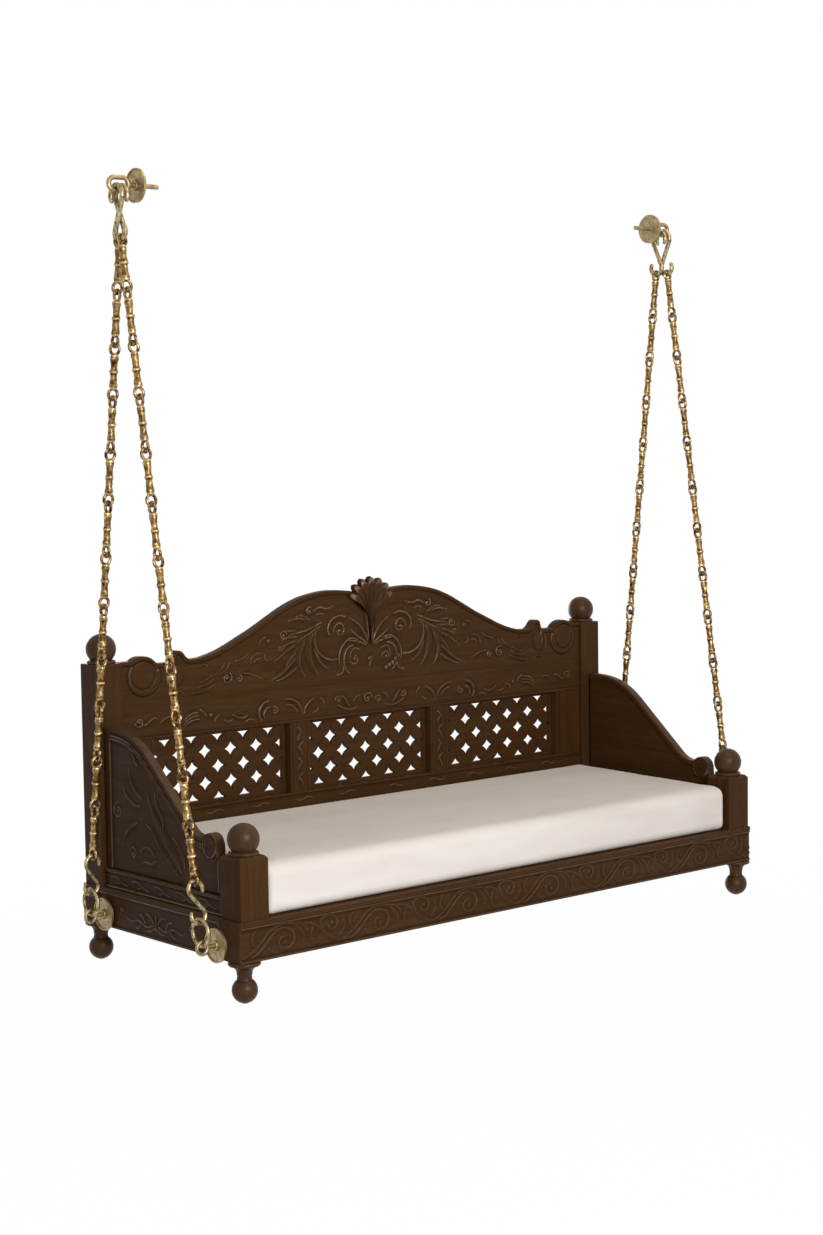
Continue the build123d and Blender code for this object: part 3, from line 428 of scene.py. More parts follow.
SIDE_THICK = 45.0
SPRAY_Y = 17
side_u = along_edges(-267.0, 298.0, 2.8)
side_rows = along_edges(RAIL_LOW, SEAT, 2.4)
for side, name in ((-1, "left"), (1, "right")):
    flank = plain_board(side_u, side_rows)
    for way in (-1, 1):
        cut_leaves(flank, [
            (8, 3.2, 0, (6, 136, 40, 128, 76, 138, 112, 132, 140, 142), {"form": (0.2, 0.6)}),
            (11, 3.6, 0.4, (8, 140, 26, 156, 48, 160)),
            (9, 3.2, 0.4, (44, 132, 58, 150, 78, 156)),
            (8, 3.0, -0.4, (60, 134, 76, 120, 96, 116)),
            (9, 3.2, -0.4, (6, 130, 22, 120, 40, 117)),
        ], (SPRAY_Y, 0), way)
        cut_scroll(flank, (SPRAY_Y + way * 150, 150), 11, -90, way, 5, 3.0, turns=1.0)
    cut_leaf(flank, [(SPRAY_Y, 122), (SPRAY_Y, 140), (SPRAY_Y, 166)], 13, 4.0, vein=1.2)
    cut_bud(flank, (SPRAY_Y, 128), 6, 4.0)
    flank["h"] = np.maximum.reduce([flank["h"], GROUND * smooth_step((flank["v"] - 183) / 2.0),
                                    0.8 * GROUND * smooth_step((107 - flank["v"]) / 2.5),
                                    GROUND * smooth_step((-246 - flank["u"]) / 3.0),
                                    GROUND * smooth_step((flank["u"] - 277) / 3.0)])
    carved_board(f"side_rail_{name}_carved", flank, SIDE_THICK,
                 lambda u, v, d, s=side: (s * (END_X - d), u, v), walnut["y"], (f"side_rail_{name}",),
                 arris=1.6)
ease_edges("back_rail", 2.0, walnut["x"], arris_wear_and_highlight)

# ---------------------------------------------------------------- feet and finials
# Bun feet and ball finials turned from the same walnut: a collar with a bead, a hollow neck and a
# ball, sanded on the lathe, with the faint rings that the tool leaves.
TOOL_MARK = 0.06
FOOT_BALL = 31.5
FINIAL_BALL, FINIAL_MIDDLE = 39, 37.1


def ring_faces(rings, sides, closed=False):
    """Quads round a stack of rings of points, capped at both ends unless the last meets the first."""
    a = np.arange(rings if closed else rings - 1)[:, None] * sides + np.arange(sides)
    b = a - np.arange(sides) + (np.arange(sides) + 1) % sides
    c, d = (b + sides) % (rings * sides), (a + sides) % (rings * sides)
    faces = np.stack([a, b, c, d], axis=-1).reshape(-1, 4).tolist()
    caps = [list(range(sides)), list(range((rings - 1) * sides, rings * sides))]
    return faces if closed else faces + caps


def turned(name, profile, centre, node):
    """Revolve a profile of (radius, height) points, smoothed between its corners, about a vertical
    line; the tool marks are a ripple of TOOL_MARK mm, hollows are darkened as painted shade, and convex
    parts get a faint painted highlight with some wear."""
    r, z = np.asarray(profile, float).T
    sides = 72
    angle = np.linspace(0, 2 * pi, sides, endpoint=False)
    r = np.maximum(r, 0.02)
    ripple = TOOL_MARK * np.sin(z * 2.1) * (r > 2)
    x = centre[0] + (r + ripple - TOOL_MARK)[:, None] * np.cos(angle)
    y = centre[1] + (r + ripple - TOOL_MARK)[:, None] * np.sin(angle)
    points = np.stack([x, y, z[:, None] + 0 * x], axis=-1).reshape(-1, 3)
    # relief for the finish: painted shade in the hollows, a faint painted highlight with some wear on
    # convex parts
    mean = np.convolve(np.pad(r, 6, mode="edge"), np.ones(13) / 13, mode="valid")
    relief = np.repeat(np.clip((r - mean) / 5, -1, 0.3), sides)
    return add_piece(name, points, ring_faces(len(r), sides), handled_walnut, "bench",
                     (node,), relief, sharp=50)


def bow(a, b, bulge, steps=14):
    """An arc from a to b in the profile plane that stands out by bulge at its middle."""
    t = np.linspace(0, 1, steps)
    a, b = np.array(a, float), np.array(b, float)
    normal = np.array([b[1] - a[1], a[0] - b[0]]) / np.hypot(*(b - a))
    chord, half = a + (b - a) * t[:, None], np.hypot(*(b - a)) / 2
    if abs(bulge) < 1e-6:
        return chord
    radius = (half ** 2 + bulge ** 2) / (2 * abs(bulge))
    lift = np.sqrt(radius ** 2 - (half * (2 * t - 1)) ** 2) - (radius - abs(bulge))
    return chord + normal * (np.sign(bulge) * lift)[:, None]


foot_profile = np.vstack([
    [(0, 0.0)], [(8, 0.25)],
    [(FOOT_BALL * cos(a), FOOT_BALL + FOOT_BALL * sin(a))
     for a in np.linspace(radians(-72), radians(53), 44)],
    bow((18.6, 59.5), (18.5, 69), -0.6, 8), bow((19.0, 70.5), (37.0, 91.2), -5.5, 20),
    bow((37.2, 92.0), (37.2, 99.9), 2.7, 14), [(20, 99.95)], [(0, 99.95)]])
for name, x, y in (("front_left", -885, -312), ("front_right", 885, -312),
                   ("back_left", -885, 312), ("back_right", 885, 312)):
    turned(f"foot_{name}_turned", foot_profile, (x, y), f"foot_{name}")
finial_profile = np.vstack([
    [(0, 0.1)], [(35, 0.1)], bow((35.2, 0.2), (35.2, 7.8), 1.7, 12), [(33.0, 8.6)],
    bow((32.0, 9.0), (28.2, 11.6), -0.8, 8),
    [(FINIAL_BALL * cos(a), FINIAL_MIDDLE + FINIAL_BALL * sin(a))
     for a in np.linspace(radians(-42), radians(89.5), 52)], [(0, 76.1)]])
for name, x, y, top in (("front_left", -869, -296, 351), ("front_right", 869, -296, 351),
                        ("back_left", -872, 299, 767), ("back_right", 872, 299, 767)):
    turned(f"finial_{name}_turned", finial_profile + [0, top], (x, y), f"finial_{name}")

# ---------------------------------------------------------------- posts
# Square posts of solid walnut, tenoned into the rails. The front pair has a chamfered head, and
# all the long arrises are painted pale, partly wear from hands and partly a painted highlight.
for name in ("front_left", "front_right", "back_left", "back_right"):
    ease_edges(f"post_{name}", 2.2, walnut["z"], arris_wear_and_highlight)

# ---------------------------------------------------------------- deck
# Pine planks on ledgers that are screwed to the frame, over two stretchers: sawn, pale and left raw,
# and hidden by the mattress. The back's dowels are of the same pine.


def sawn_pine():
    """Sawn pine, unfinished: pale yellow with darker summer wood lines and a matt surface."""
    finish, tree, place = new_finish("sawn_pine")
    # growth lines about 6 mm apart, 300 mm long, across the bench as the planks run
    at = add_node(tree, "Mapping", {"Vector": place, "Scale": [90.0, 3.0, 90.0]})
    lines = add_node(tree, "TexNoise", {"Vector": at, "Scale": 1.0, "Detail": 4.0, "Distortion": 0.6})
    tone = add_node(tree, "ValToRGB", {"Fac": lines.outputs["Fac"]}, stops=[
        (0.3, linear("#8a6238")), (0.5, linear("#b28a58")), (0.7, linear("#c4a06c"))])
    fibre = add_node(tree, "Bump", {"Height": lines.outputs["Fac"], "Strength": 0.3, "Distance": 0.001})
    shader = add_node(tree, "BsdfPrincipled", {"Base Color": tone, "Roughness": 0.75, "Normal": fibre})
    add_node(tree, "OutputMaterial", {"Surface": shader})
    return finish


pine = sawn_pine()
for node, width in (("seat_planks", 1.5), ("seat_ledgers", 1.0), ("seat_stretchers", 1.0),
                    ("back_dowels", 0.4)):
    ease_edges(node, width, pine, segments=1)

# ---------------------------------------------------------------- bottom rail, frieze, stiles and mullions
# The back's frame, pegged together and pinned to the posts. Scrolls and leaves run along the frieze,
# small leaves climb the mullions, and a bead is cut along every edge next to the lattices.
BACK_FACE, BACK_THICK, BACK_HALF = 266.0, 42.0, 834.6
BOTTOM_LOW, BOTTOM_HIGH = SEAT + 90, SEAT + 169
FRIEZE_LOW, FRIEZE_HIGH = SEAT + 362, SEAT + 457


def from_seat(points, way=1):
    """Points given as x from the middle and height above the seat frame, mirrored where way is -1."""
    return [(way * x, SEAT + s) for x, s in points]


def bead(distance, at, radius, rise=GROUND):
    """A half-round bead along a line: rise * sqrt(1 - ((distance - at) / radius) ** 2)."""
    return rise * np.sqrt(np.clip(1 - ((distance - at) / radius) ** 2, 0, None))


def bead_along(board, gap):
    """The bead next to a lattice, at the distance gap from the edge: a half round, a groove beside it,
    0.6 * exp(-((gap - 7.6) / 1.2) ** 2), and less of the pale crest tone, a painted highlight with some
    wear, on both."""
    board["h"] = np.maximum(board["h"], bead(gap, 3.2, 3.2, 2.0))
    board["h"] -= 0.6 * np.exp(-((gap - 7.6) / 1.2) ** 2)
    board["worn"] = np.where(gap < 10, 0.4, 1.0)


back_u = along_edges(-BACK_HALF, BACK_HALF, 2.5)
frieze_rows = along_edges(FRIEZE_LOW, FRIEZE_HIGH, 2.3, near=(0.8, 1.6))
frieze = plain_board(back_u, frieze_rows)
for way in (-1, 1):
    cut_scroll(frieze, (way * 780, SEAT + 409), 14, 180, -way, 6, 3.4)
    cut_leaves(frieze, [
        (9, 3.6, 0.3, (-766, 399, -752, 405, -734, 416, -720, 412)),
        (7, 3.0, 0, (-714, 402, -700, 412, -682, 416, -668, 408)),
    ], (0, SEAT), way, lean_way=1)
    for k in range(3):
        cut_leaf(frieze, from_seat([(-594 + 2 * k, 420 - 9 * k), (-614, 418 - 9 * k), (-632, 408 - 8 * k),
                                    (-645 + 3 * k, 393 - 5 * k)], way), 7.5, 3.8, lean=0.4)
    cut_leaf(frieze, from_seat([(-590, 426), (-576, 418), (-566, 404)], way), 8, 3.4, lean=-0.3)
    cut_bud(frieze, (way * -553, SEAT + 408), 5.5, 3.6)
    cut_leaves(frieze, [
        (6, 3.0, 0, (-543, 388, -536, 400, -522, 406)),
        (7, 3.0, 0, (-514, 392, -496, 386, -478, 392)),
        (8, 3.6, 0.3, (-484, 404, -466, 393, -446, 391, -424, 402)),
        (6, 3.0, 0, (-440, 380, -426, 386, -412, 382)),
        (10, 4.0, -0.4, (-360, 429, -380, 422, -393, 404, -392, 388, -384, 376), {"form": (0.3, 0.5)}),
        (8, 3.8, -0.3, (-358, 413, -371, 406, -378, 394, -374, 381)),
    ], (0, SEAT), way, lean_way=1)
    cut_scroll(frieze, (way * -340, SEAT + 401), 11, 120, -way, 5, 3.2)
    cut_leaves(frieze, [
        (9, 3.8, 0.3, (-307, 429, -284, 426, -262, 414, -250, 398, -244, 384)),
        (7, 3.2, 0, (-300, 414, -282, 410, -268, 398, -262, 386)),
        (9, 3.8, -0.3, (-204, 424, -222, 414, -236, 398, -240, 382)),
        (7, 3.4, 0, (-188, 396, -198, 388, -212, 383)),
        (6, 3.0, 0, (-184, 424, -172, 414, -168, 402)),
    ], (0, SEAT), way, lean_way=1)
    cut_scroll(frieze, (way * -120, SEAT + 412), 11, 200, -way, 5, 3.4)
    cut_leaves(frieze, [
        (9, 3.8, 0.3, (-108, 422, -96, 412, -86, 397, -74, 388)),
        (7, 3.2, 0, (-122, 398, -104, 388, -84, 382, -62, 383, -44, 390)),
        (7, 3.2, 0, (-66, 402, -54, 414, -40, 420)),
    ], (0, SEAT), way, lean_way=1)
cut_scroll(frieze, (-13, SEAT + 408), 16, 0, 1, 6, 3.8)
cut_scroll(frieze, (26, SEAT + 402), 12, 180, -1, 5, 3.4)
bead_along(frieze, frieze["v"] - FRIEZE_LOW)
carved_board("frieze_rail_carved", frieze, BACK_THICK, lambda u, v, d: (u, BACK_FACE + d, v), walnut["x"],
             ("frieze_rail",), arris=0.7, edge_wear_and_highlight=0.0)

bottom_rows = along_edges(BOTTOM_LOW, BOTTOM_HIGH, 2.6, near=(0.8, 1.6))
bottom = plain_board(back_u, bottom_rows)
bead_along(bottom, BOTTOM_HIGH - bottom["v"])
for way in (-1, 1):
    for k in range(5):
        x = 60 + 152 * k
        cut_leaf(bottom, from_seat([(x, 148), (x + 22, 152), (x + 44, 145), (x + 66, 150)], way), 6, 2.4)
carved_board("bottom_rail_carved", bottom, BACK_THICK, lambda u, v, d: (u, BACK_FACE + d, v), walnut["x"],
             ("bottom_rail",), arris=0.7, edge_wear_and_highlight=0.1)

for node, width in (("end_stiles", 99.0), ("mullions", 68.0)):
    low_x, high_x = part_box(node)[0][0] * 1000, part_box(node)[1][0] * 1000
    for label, x in (("left", low_x + width / 2), ("right", high_x - width / 2)):
        stile_u = along_edges(x - width / 2, x + width / 2, 2.4, near=(0.8, 1.6))
        stile_rows = along_edges(SEAT + 168.8, SEAT + 362.2, 2.6, near=(0.8, 1.6))
        stile = plain_board(stile_u, stile_rows)
        if node == "mullions":
            for k in range(4):
                z = 192 + 42 * k
                way = -1 if k % 2 else 1
                cut_leaf(stile, [(x + way * 10, SEAT + z - 6), (x + way * 2, SEAT + z + 10),
                                 (x - way * 10, SEAT + z + 20)], 9, 3.6, lean=0.4 * way)
                cut_leaf(stile, [(x - way * 8, SEAT + z + 12), (x + way * 2, SEAT + z + 26),
                                 (x + way * 12, SEAT + z + 30)], 7, 3.2, lean=-0.4 * way)
        inner = np.minimum(stile["u"] - (x - width / 2), x + width / 2 - stile["u"])
        if node == "end_stiles":
            inner = (x + width / 2 - stile["u"]) if x < 0 else (stile["u"] - (x - width / 2))
        bead_along(stile, inner)
        carved_board(f"{node}_{label}_carved", stile, BACK_THICK, lambda u, v, d: (u, BACK_FACE + d, v),
                     walnut["z"], (node,), arris=0.7, edge_wear_and_highlight=0.1)
ease_edges("toe_panel", 1.0, walnut["x"], arris_wear_and_highlight)

# ---------------------------------------------------------------- lattices
# Jali panels sawn from 12 mm walnut, set in grooves of the frame, their four-pointed holes rounded
# over with a rasp. They have the frame's finish.
for name in ("left", "centre", "right"):
    ease_edges(f"lattice_{name}", 1.6, walnut["x"])

# ---------------------------------------------------------------- crest board
# The serpentine board on top, one wide plank: a roll is worked along its upper edge, and acanthus
# leaves spread from the middle towards a raised roundel at each end.
CREST_THICK = 28.0
ROUNDEL_X, ROUNDEL_Z = 762, 527
crest_u = along_edges(-BACK_HALF, BACK_HALF, 2.4)
crest_line = np.vstack([
    curve_through([(0, 700), (34, 707), (80, 714), (120, 717), (160, 717), (205, 711), (250, 701),
                   (300, 682), (350, 657), (402, 630), (450, 608), (490, 590), (530, 575),
                   (575, 564), (612, 561)]),
    curve_through([(618, 562), (630, 570), (640, 582), (652, 587), (664, 584), (669, 572), (674, 558)]),
    [(721.8, 558.4)],
    [(765 + 54 * cos(a), 526 + 54 * sin(a)) for a in np.linspace(radians(143), radians(53), 16)],
    [(BACK_HALF, 569.0)]])
crest_low = np.full(len(crest_u), FRIEZE_HIGH)
crest_high = SEAT + np.interp(np.abs(crest_u), crest_line[:, 0], crest_line[:, 1])
crest_rows = np.concatenate([[0, 0.004, 0.01], np.linspace(0.02, 0.9, 74), np.linspace(0.91, 0.988, 15),
                             [0.992, 0.996, 1.0]])
crest = board_grid(crest_u, crest_low, crest_high, crest_rows)
for way in (-1, 1):
    # broad soft bodies first, so that the fine leaves lie on swelling ground
    cut_leaves(crest, [(70, 1.5, 0, (-176, 640, -216, 610, -250, 560, -262, 500)),
                       (56, 1.5, 0, (-190, 626, -236, 606, -290, 580, -346, 540)),
                       (34, 1.5, 0, (-60, 560, -92, 540, -104, 500, -124, 482)),
                       (30, 1.5, 0, (-20, 600, -60, 640, -110, 660, -150, 640)),
                       (34, 1.5, 0, (-612, 474, -570, 490, -524, 520, -480, 545)),
                       (30, 1.5, 0, (-470, 500, -436, 530, -410, 556, -372, 560))], (0, SEAT), way)
    # the great leaf: a stem that turns down from its scroll, and fronds that fan out from it
    for root, tips in (((-226, 590), ((-300, 616), (-322, 590), (-340, 560), (-348, 528))),
                       ((-214, 640), ((-296, 640), (-268, 652)))):
        for tip in tips:
            middle = ((root[0] + tip[0]) / 2, (root[1] + tip[1]) / 2 + 9)
            cut_leaf(crest, from_seat([root, middle, tip], way), 13, 3.0, lean=0.4 * way)
    cut_leaves(crest, [
        (15, 3.6, 0.4, (-262, 545, -292, 520, -318, 500, -352, 484)),
        (10, 3.2, 0.4, (-256, 520, -286, 500, -316, 486, -344, 478)),
        (14, 3.6, 0.4, (-232, 596, -262, 562, -290, 534, -304, 512)),
        (24, 4.0, 0.4, (-212, 610, -240, 580, -256, 540, -250, 505, -232, 482), {"vein": 1.6}),
        (26, 4.0, 0.4, (-190, 622, -212, 600, -222, 560, -210, 514, -184, 482), {"vein": 1.6}),
        (15, 3.4, -0.4, (-198, 594, -196, 560, -184, 528, -160, 506, -142, 506)),
        (9, 3.6, -0.4, (-120, 524, -150, 526, -180, 541, -199, 570, -198, 604, -176, 624),
         {"form": (0.3, 0.3)}),
        (11, 3.6, 0.4, (-176, 632, -206, 622, -238, 612, -276, 606, -300, 596), {"form": (0.25, 0.6)}),
        (9, 3.2, 0.4, (-186, 622, -214, 606, -246, 592, -270, 570)),
    ], (0, SEAT), way)
    cut_scroll(crest, (way * -308, SEAT + 604), 13, 0, way, 5, 3.2)
    cut_scroll(crest, (way * -318, SEAT + 572), 10, 20, -way, 4, 2.8)
    # the two C-scrolls beside the middle
    cut_leaves(crest, [
        (9, 4.0, -0.4, (-86, 640, -112, 645, -140, 634, -152, 610, -144, 590), {"form": (0.3, 0.4)}),
        (6, 3.0, 0, (-96, 622, -116, 624, -130, 612, -131, 596)),
    ], (0, SEAT), way)
    cut_scroll(crest, (way * -112, SEAT + 604), 22, 90, -way, 5, 3.0, turns=0.8)
    cut_leaves(crest, [
        (10, 4.0, -0.4, (-44, 574, -74, 578, -99, 562, -112, 536, -113, 508), {"form": (0.3, 0.5)}),
        (10, 4.0, -0.4, (-60, 562, -83, 552, -95, 528, -96, 500, -106, 484, -126, 480),
         {"form": (0.3, 0.5)}),
        (8, 3.6, -0.4, (-94, 508, -88, 492, -74, 480)),
        (6, 2.8, 0, (-36, 544, -58, 552, -74, 534, -74, 512)),
    ], (0, SEAT), way)
    cut_scroll(crest, (way * -58, SEAT + 522), 17, 200, way, 4.5, 2.8, turns=0.9)
    # buds and small leaves over the great leaf and along the falling edge
    cut_scroll(crest, (way * -216, SEAT + 664), 12, 60, way, 6, 4.0, turns=0.9)
    cut_leaves(crest, [
        (8, 3.0, 0, (-204, 664, -180, 674, -156, 668, -128, 674)),
        (6, 2.8, 0, (-196, 654, -176, 656, -158, 650)),
    ], (0, SEAT), way)
    cut_bud(crest, (way * -357, SEAT + 591), 7, 3.0)
    cut_leaves(crest, [
        (8, 3.0, 0, (-366, 604, -380, 598, -392, 584)),
        (10, 3.8, -0.4, (-422, 534, -416, 552, -400, 562, -386, 560)),
        (6, 3.0, 0, (-410, 536, -398, 546, -382, 546)),
        (8, 3.4, -0.4, (-470, 546, -452, 550, -434, 558, -426, 566)),
        (6, 2.6, 0, (-360, 536, -372, 548, -368, 562)),
        (11, 3.8, -0.4, (-614, 472, -584, 474, -556, 482, -532, 492)),
        (9, 3.6, -0.4, (-594, 486, -572, 490, -552, 498, -540, 508)),
        (8, 3.2, -0.4, (-588, 498, -570, 502, -554, 512, -548, 522)),
        (8, 3.4, -0.4, (-552, 510, -534, 518, -518, 528, -506, 544)),
        (6, 2.8, 0, (-490, 542, -498, 528, -514, 516)),
    ], (0, SEAT), way)
    cut_scroll(crest, (way * -498, SEAT + 502), 17, 60, -way, 6, 3.4)
    cut_scroll(crest, (way * -458, SEAT + 498), 10, 100, -way, 5, 3.4)
    cut_leaves(crest, [
        (6, 3.0, 0, (-450, 512, -424, 508, -396, 498, -374, 488)),
        (7, 2.6, 0, (-590, 540, -572, 544, -556, 538)),
        (7, 2.6, 0, (-636, 470, -652, 480, -668, 478, -690, 470)),
        # the sweep that rises beside the palmette and runs out into the roll, with three leaves at its foot
        (10, 4.0, -0.4, (-6, 570, -10, 606, -14, 640, -27, 668, -48, 690, -84, 705), {"form": (0.3, 0.35)}),
        (10, 4.0, -0.4, (-9, 566, -22, 592, -46, 620, -82, 642)),
        (9, 3.6, -0.4, (-10, 560, -30, 574, -52, 588, -72, 606)),
        (8, 3.2, -0.4, (-12, 556, -36, 566, -62, 572, -84, 574)),
    ], (0, SEAT), way)
    # roundel with a crescent cut round its lower inner side, and the bulb of the leaf beside it
    ring_r = np.hypot(crest["u"] - way * ROUNDEL_X, crest["v"] - SEAT - ROUNDEL_Z)
    turned_to = np.arctan2(crest["v"] - SEAT - ROUNDEL_Z, -way * (crest["u"] - way * ROUNDEL_X))
    crest["h"] = np.where(ring_r < 50, GROUND * np.sqrt(
        np.clip(1 - np.clip((ring_r - 43) / 7, 0, 1) ** 2, 0, None)), crest["h"])
    crescent = np.exp(-((ring_r - 35 + 4 * np.cos(turned_to + 0.6)) / 3.0) ** 2)
    crest["h"] -= 3.0 * crescent * (0.3 + 0.7 * smooth_step(0.5 - np.sin(turned_to)))
    crest["h"] -= 1.4 * np.exp(-(ring_r / 24) ** 2) * (ring_r < 50)
    crest["h"] -= 1.5 * np.exp(-((ring_r - 52.5) / 2.2) ** 2)
    cut_bud(crest, (way * -661, SEAT + 522), 20, 4.0, squash=1.4)
    cut_leaf(crest, from_seat([(-690, 500), (-690, 528), (-680, 548), (-664, 556)], way), 7, 2.6)
cut_bud(crest, (0, SEAT + 518), 9, 3.6)
cut_leaf(crest, [(-5, SEAT + 498), (0, SEAT + 510), (8, SEAT + 526)], 7, 3.4)
for x, s in ((58, 489), (70, 495), (82, 501), (92, 511), (102, 520)):
    cut_bud(crest, (x, SEAT + s), 6.0, 3.8, squash=1.2)
drop = crest["high"][:, None] - crest["v"]
slope = np.gradient(crest["high"], crest_u)[:, None]
drop = drop / np.sqrt(1 + slope ** 2)
field = smooth_step((drop - 13) / 3)
crest["h"] = crest["h"] * field + bead(drop, 5.5, 5.6) - 1.2 * np.exp(-((drop - 12.6) / 1.5) ** 2)
# the pale crest tone and the paled arris, a painted highlight with some wear, are left off the board below
# the top of the frieze
crest["worn"] = np.where(crest["v"] < SEAT + 461, 0.0, 1.0)
carved_board("crest_board_carved", crest, CREST_THICK, lambda u, v, d: (u, BACK_FACE + d, v), walnut["x"],
             ("crest_board",), arris=0.8, edge_wear_and_highlight=np.where(crest["v"] < SEAT + 462, 0.0, 0.25))

# ---------------------------------------------------------------- palmette
# A shell of seven lobes carved from one block and let into the crest. Flutes run from its foot to
# each lobe, and the rim is nicked and rolls forward, so that it throws a shadow on its own ribs.
LOBES = 7
FAN_FOOT, FAN_MIDDLE = 560, 686
fan_columns, fan_rows, rear_rows = 211, 60, 8
spread = np.linspace(-1, 1, fan_columns)[:, None]
rise = np.linspace(0, 1, fan_rows)[None, :]
lobe_turn = (spread + 1) / 2 * LOBES
lobe_at = np.abs(lobe_turn - np.floor(lobe_turn) - 0.5) * 2
lobe_at[-1] = 1.0
fan_angle = radians(90) - spread * radians(88)
nick = 0.020 * np.abs(np.sin(lobe_turn * pi * 3)) * (1 - lobe_at)
rim_r = 1 - 0.17 * lobe_at ** 2.2 + nick
rim_x = 82 * np.cos(fan_angle) * rim_r * (1 + 0.02 * np.sin(3 * spread))
rim_z = FAN_MIDDLE + 63.5 * np.sin(fan_angle) * rim_r
fan_x = rim_x * (0.12 * rise + 0.88 * rise ** (2.4 + 2.2 * spread ** 2))
fan_z = FAN_FOOT + (rim_z - FAN_FOOT) * rise
flute_depth = (2.2 + 4.2 * rise) * (1 - lobe_at ** 1.5) * smooth_step(rise * 3)
rib = 0.8 * np.cos(lobe_turn * 2 * pi * 3) * (1 - lobe_at ** 2) * smooth_step((rise - 0.15) * 3)
curl = 4.6 * smooth_step((rise - 0.62) / 0.26) - 6.5 * smooth_step((rise - 0.90) / 0.1) ** 2
fan_front = BACK_FACE - np.clip(1.2 + 1.6 * rise + flute_depth * 0.72 + 0.5 * rib + curl, 0.4, 9.9)
fan_front = np.where(rise > 0.995, 267.0, fan_front)
face = np.stack([fan_x, fan_front, SEAT + fan_z], axis=-1).reshape(-1, 3)
rear_rise = np.linspace(0, 1, rear_rows)[None, :]
rear = np.stack([rim_x * (0.12 * rear_rise + 0.88 * rear_rise ** (2.4 + 2.2 * spread ** 2)),
                 272.5 + 1.2 * (1 - lobe_at) * rear_rise, SEAT + FAN_FOOT + (rim_z - FAN_FOOT) * rear_rise],
                axis=-1).reshape(-1, 3)
fan_height = BACK_FACE - fan_front
# the relief is lowered between the lobes, painted shade in the creases, and towards the foot, which darkens
# the fan downwards; proud ribs turn pale, a painted highlight
fan_relief = (fan_height - blurred(fan_height, 4)) / 2.2 - 0.35 * lobe_at - 0.5 * (1 - rise)
add_piece("crest_palmette_carved", np.vstack([face, rear]), shell_faces(fan_columns, fan_rows, rear_rows),
          walnut["z"], "bench", ("crest_palmette",),
          np.concatenate([fan_relief.ravel(), np.zeros(len(rear))]), sharp=60)

# ---------------------------------------------------------------- arms
# Each arm is a sloping board with a scroll at its front, tongued into the posts above a moulded
# plinth. A border follows the slope, and inside it leaves are carved on the outer face only.
ARM_FACE, ARM_THICK = 895.0, 28.0
PLINTH_FACE, PLINTH_THICK = 903.0, 41.0
ARM_TOP, ARM_DIP, PLINTH_TOP = 607.0, 379.0, 247.0
HEAD_Y, FOOT_Y = 135, -129
SCROLL_Y, SCROLL_Z, SCROLL_R = -191, 362, 30
arm_u = along_edges(-255.4, 261.4, 2.6)
slope_angle = np.arctan2(ARM_TOP - ARM_DIP, HEAD_Y - FOOT_Y)
ease = np.tan(slope_angle / 2)


def arm_top(y):
    """The arm's upper edge: level, a straight fall whose ends are arcs, centre +- sqrt(r^2 - dy^2), level
    again, a half-round scroll and a low block at the front."""
    head_r, foot_r = 250.0, min(80.0, 0.99 * 62 / ease)
    h0, h1 = HEAD_Y + head_r * ease, HEAD_Y - head_r * ease * cos(slope_angle)
    f0, f1 = FOOT_Y - foot_r * ease, FOOT_Y + foot_r * ease * cos(slope_angle)
    line = ARM_DIP + (y - FOOT_Y) * np.tan(slope_angle)
    top = np.where(y > h0, ARM_TOP, np.where(y > h1, ARM_TOP - head_r + np.sqrt(
        np.clip(head_r ** 2 - (h0 - y) ** 2, 0, None)), line))
    top = np.where(y < f0, ARM_DIP, np.where(y < f1, ARM_DIP + foot_r - np.sqrt(
        np.clip(foot_r ** 2 - (y - f0) ** 2, 0, None)), top))
    top = np.where(y < SCROLL_Y, 339.0, top)
    scroll = SCROLL_Z + np.sqrt(np.clip(SCROLL_R ** 2 - (y - SCROLL_Y) ** 2, 0, None))
    return np.where(np.abs(y - SCROLL_Y) <= SCROLL_R, np.maximum(top, scroll), top)


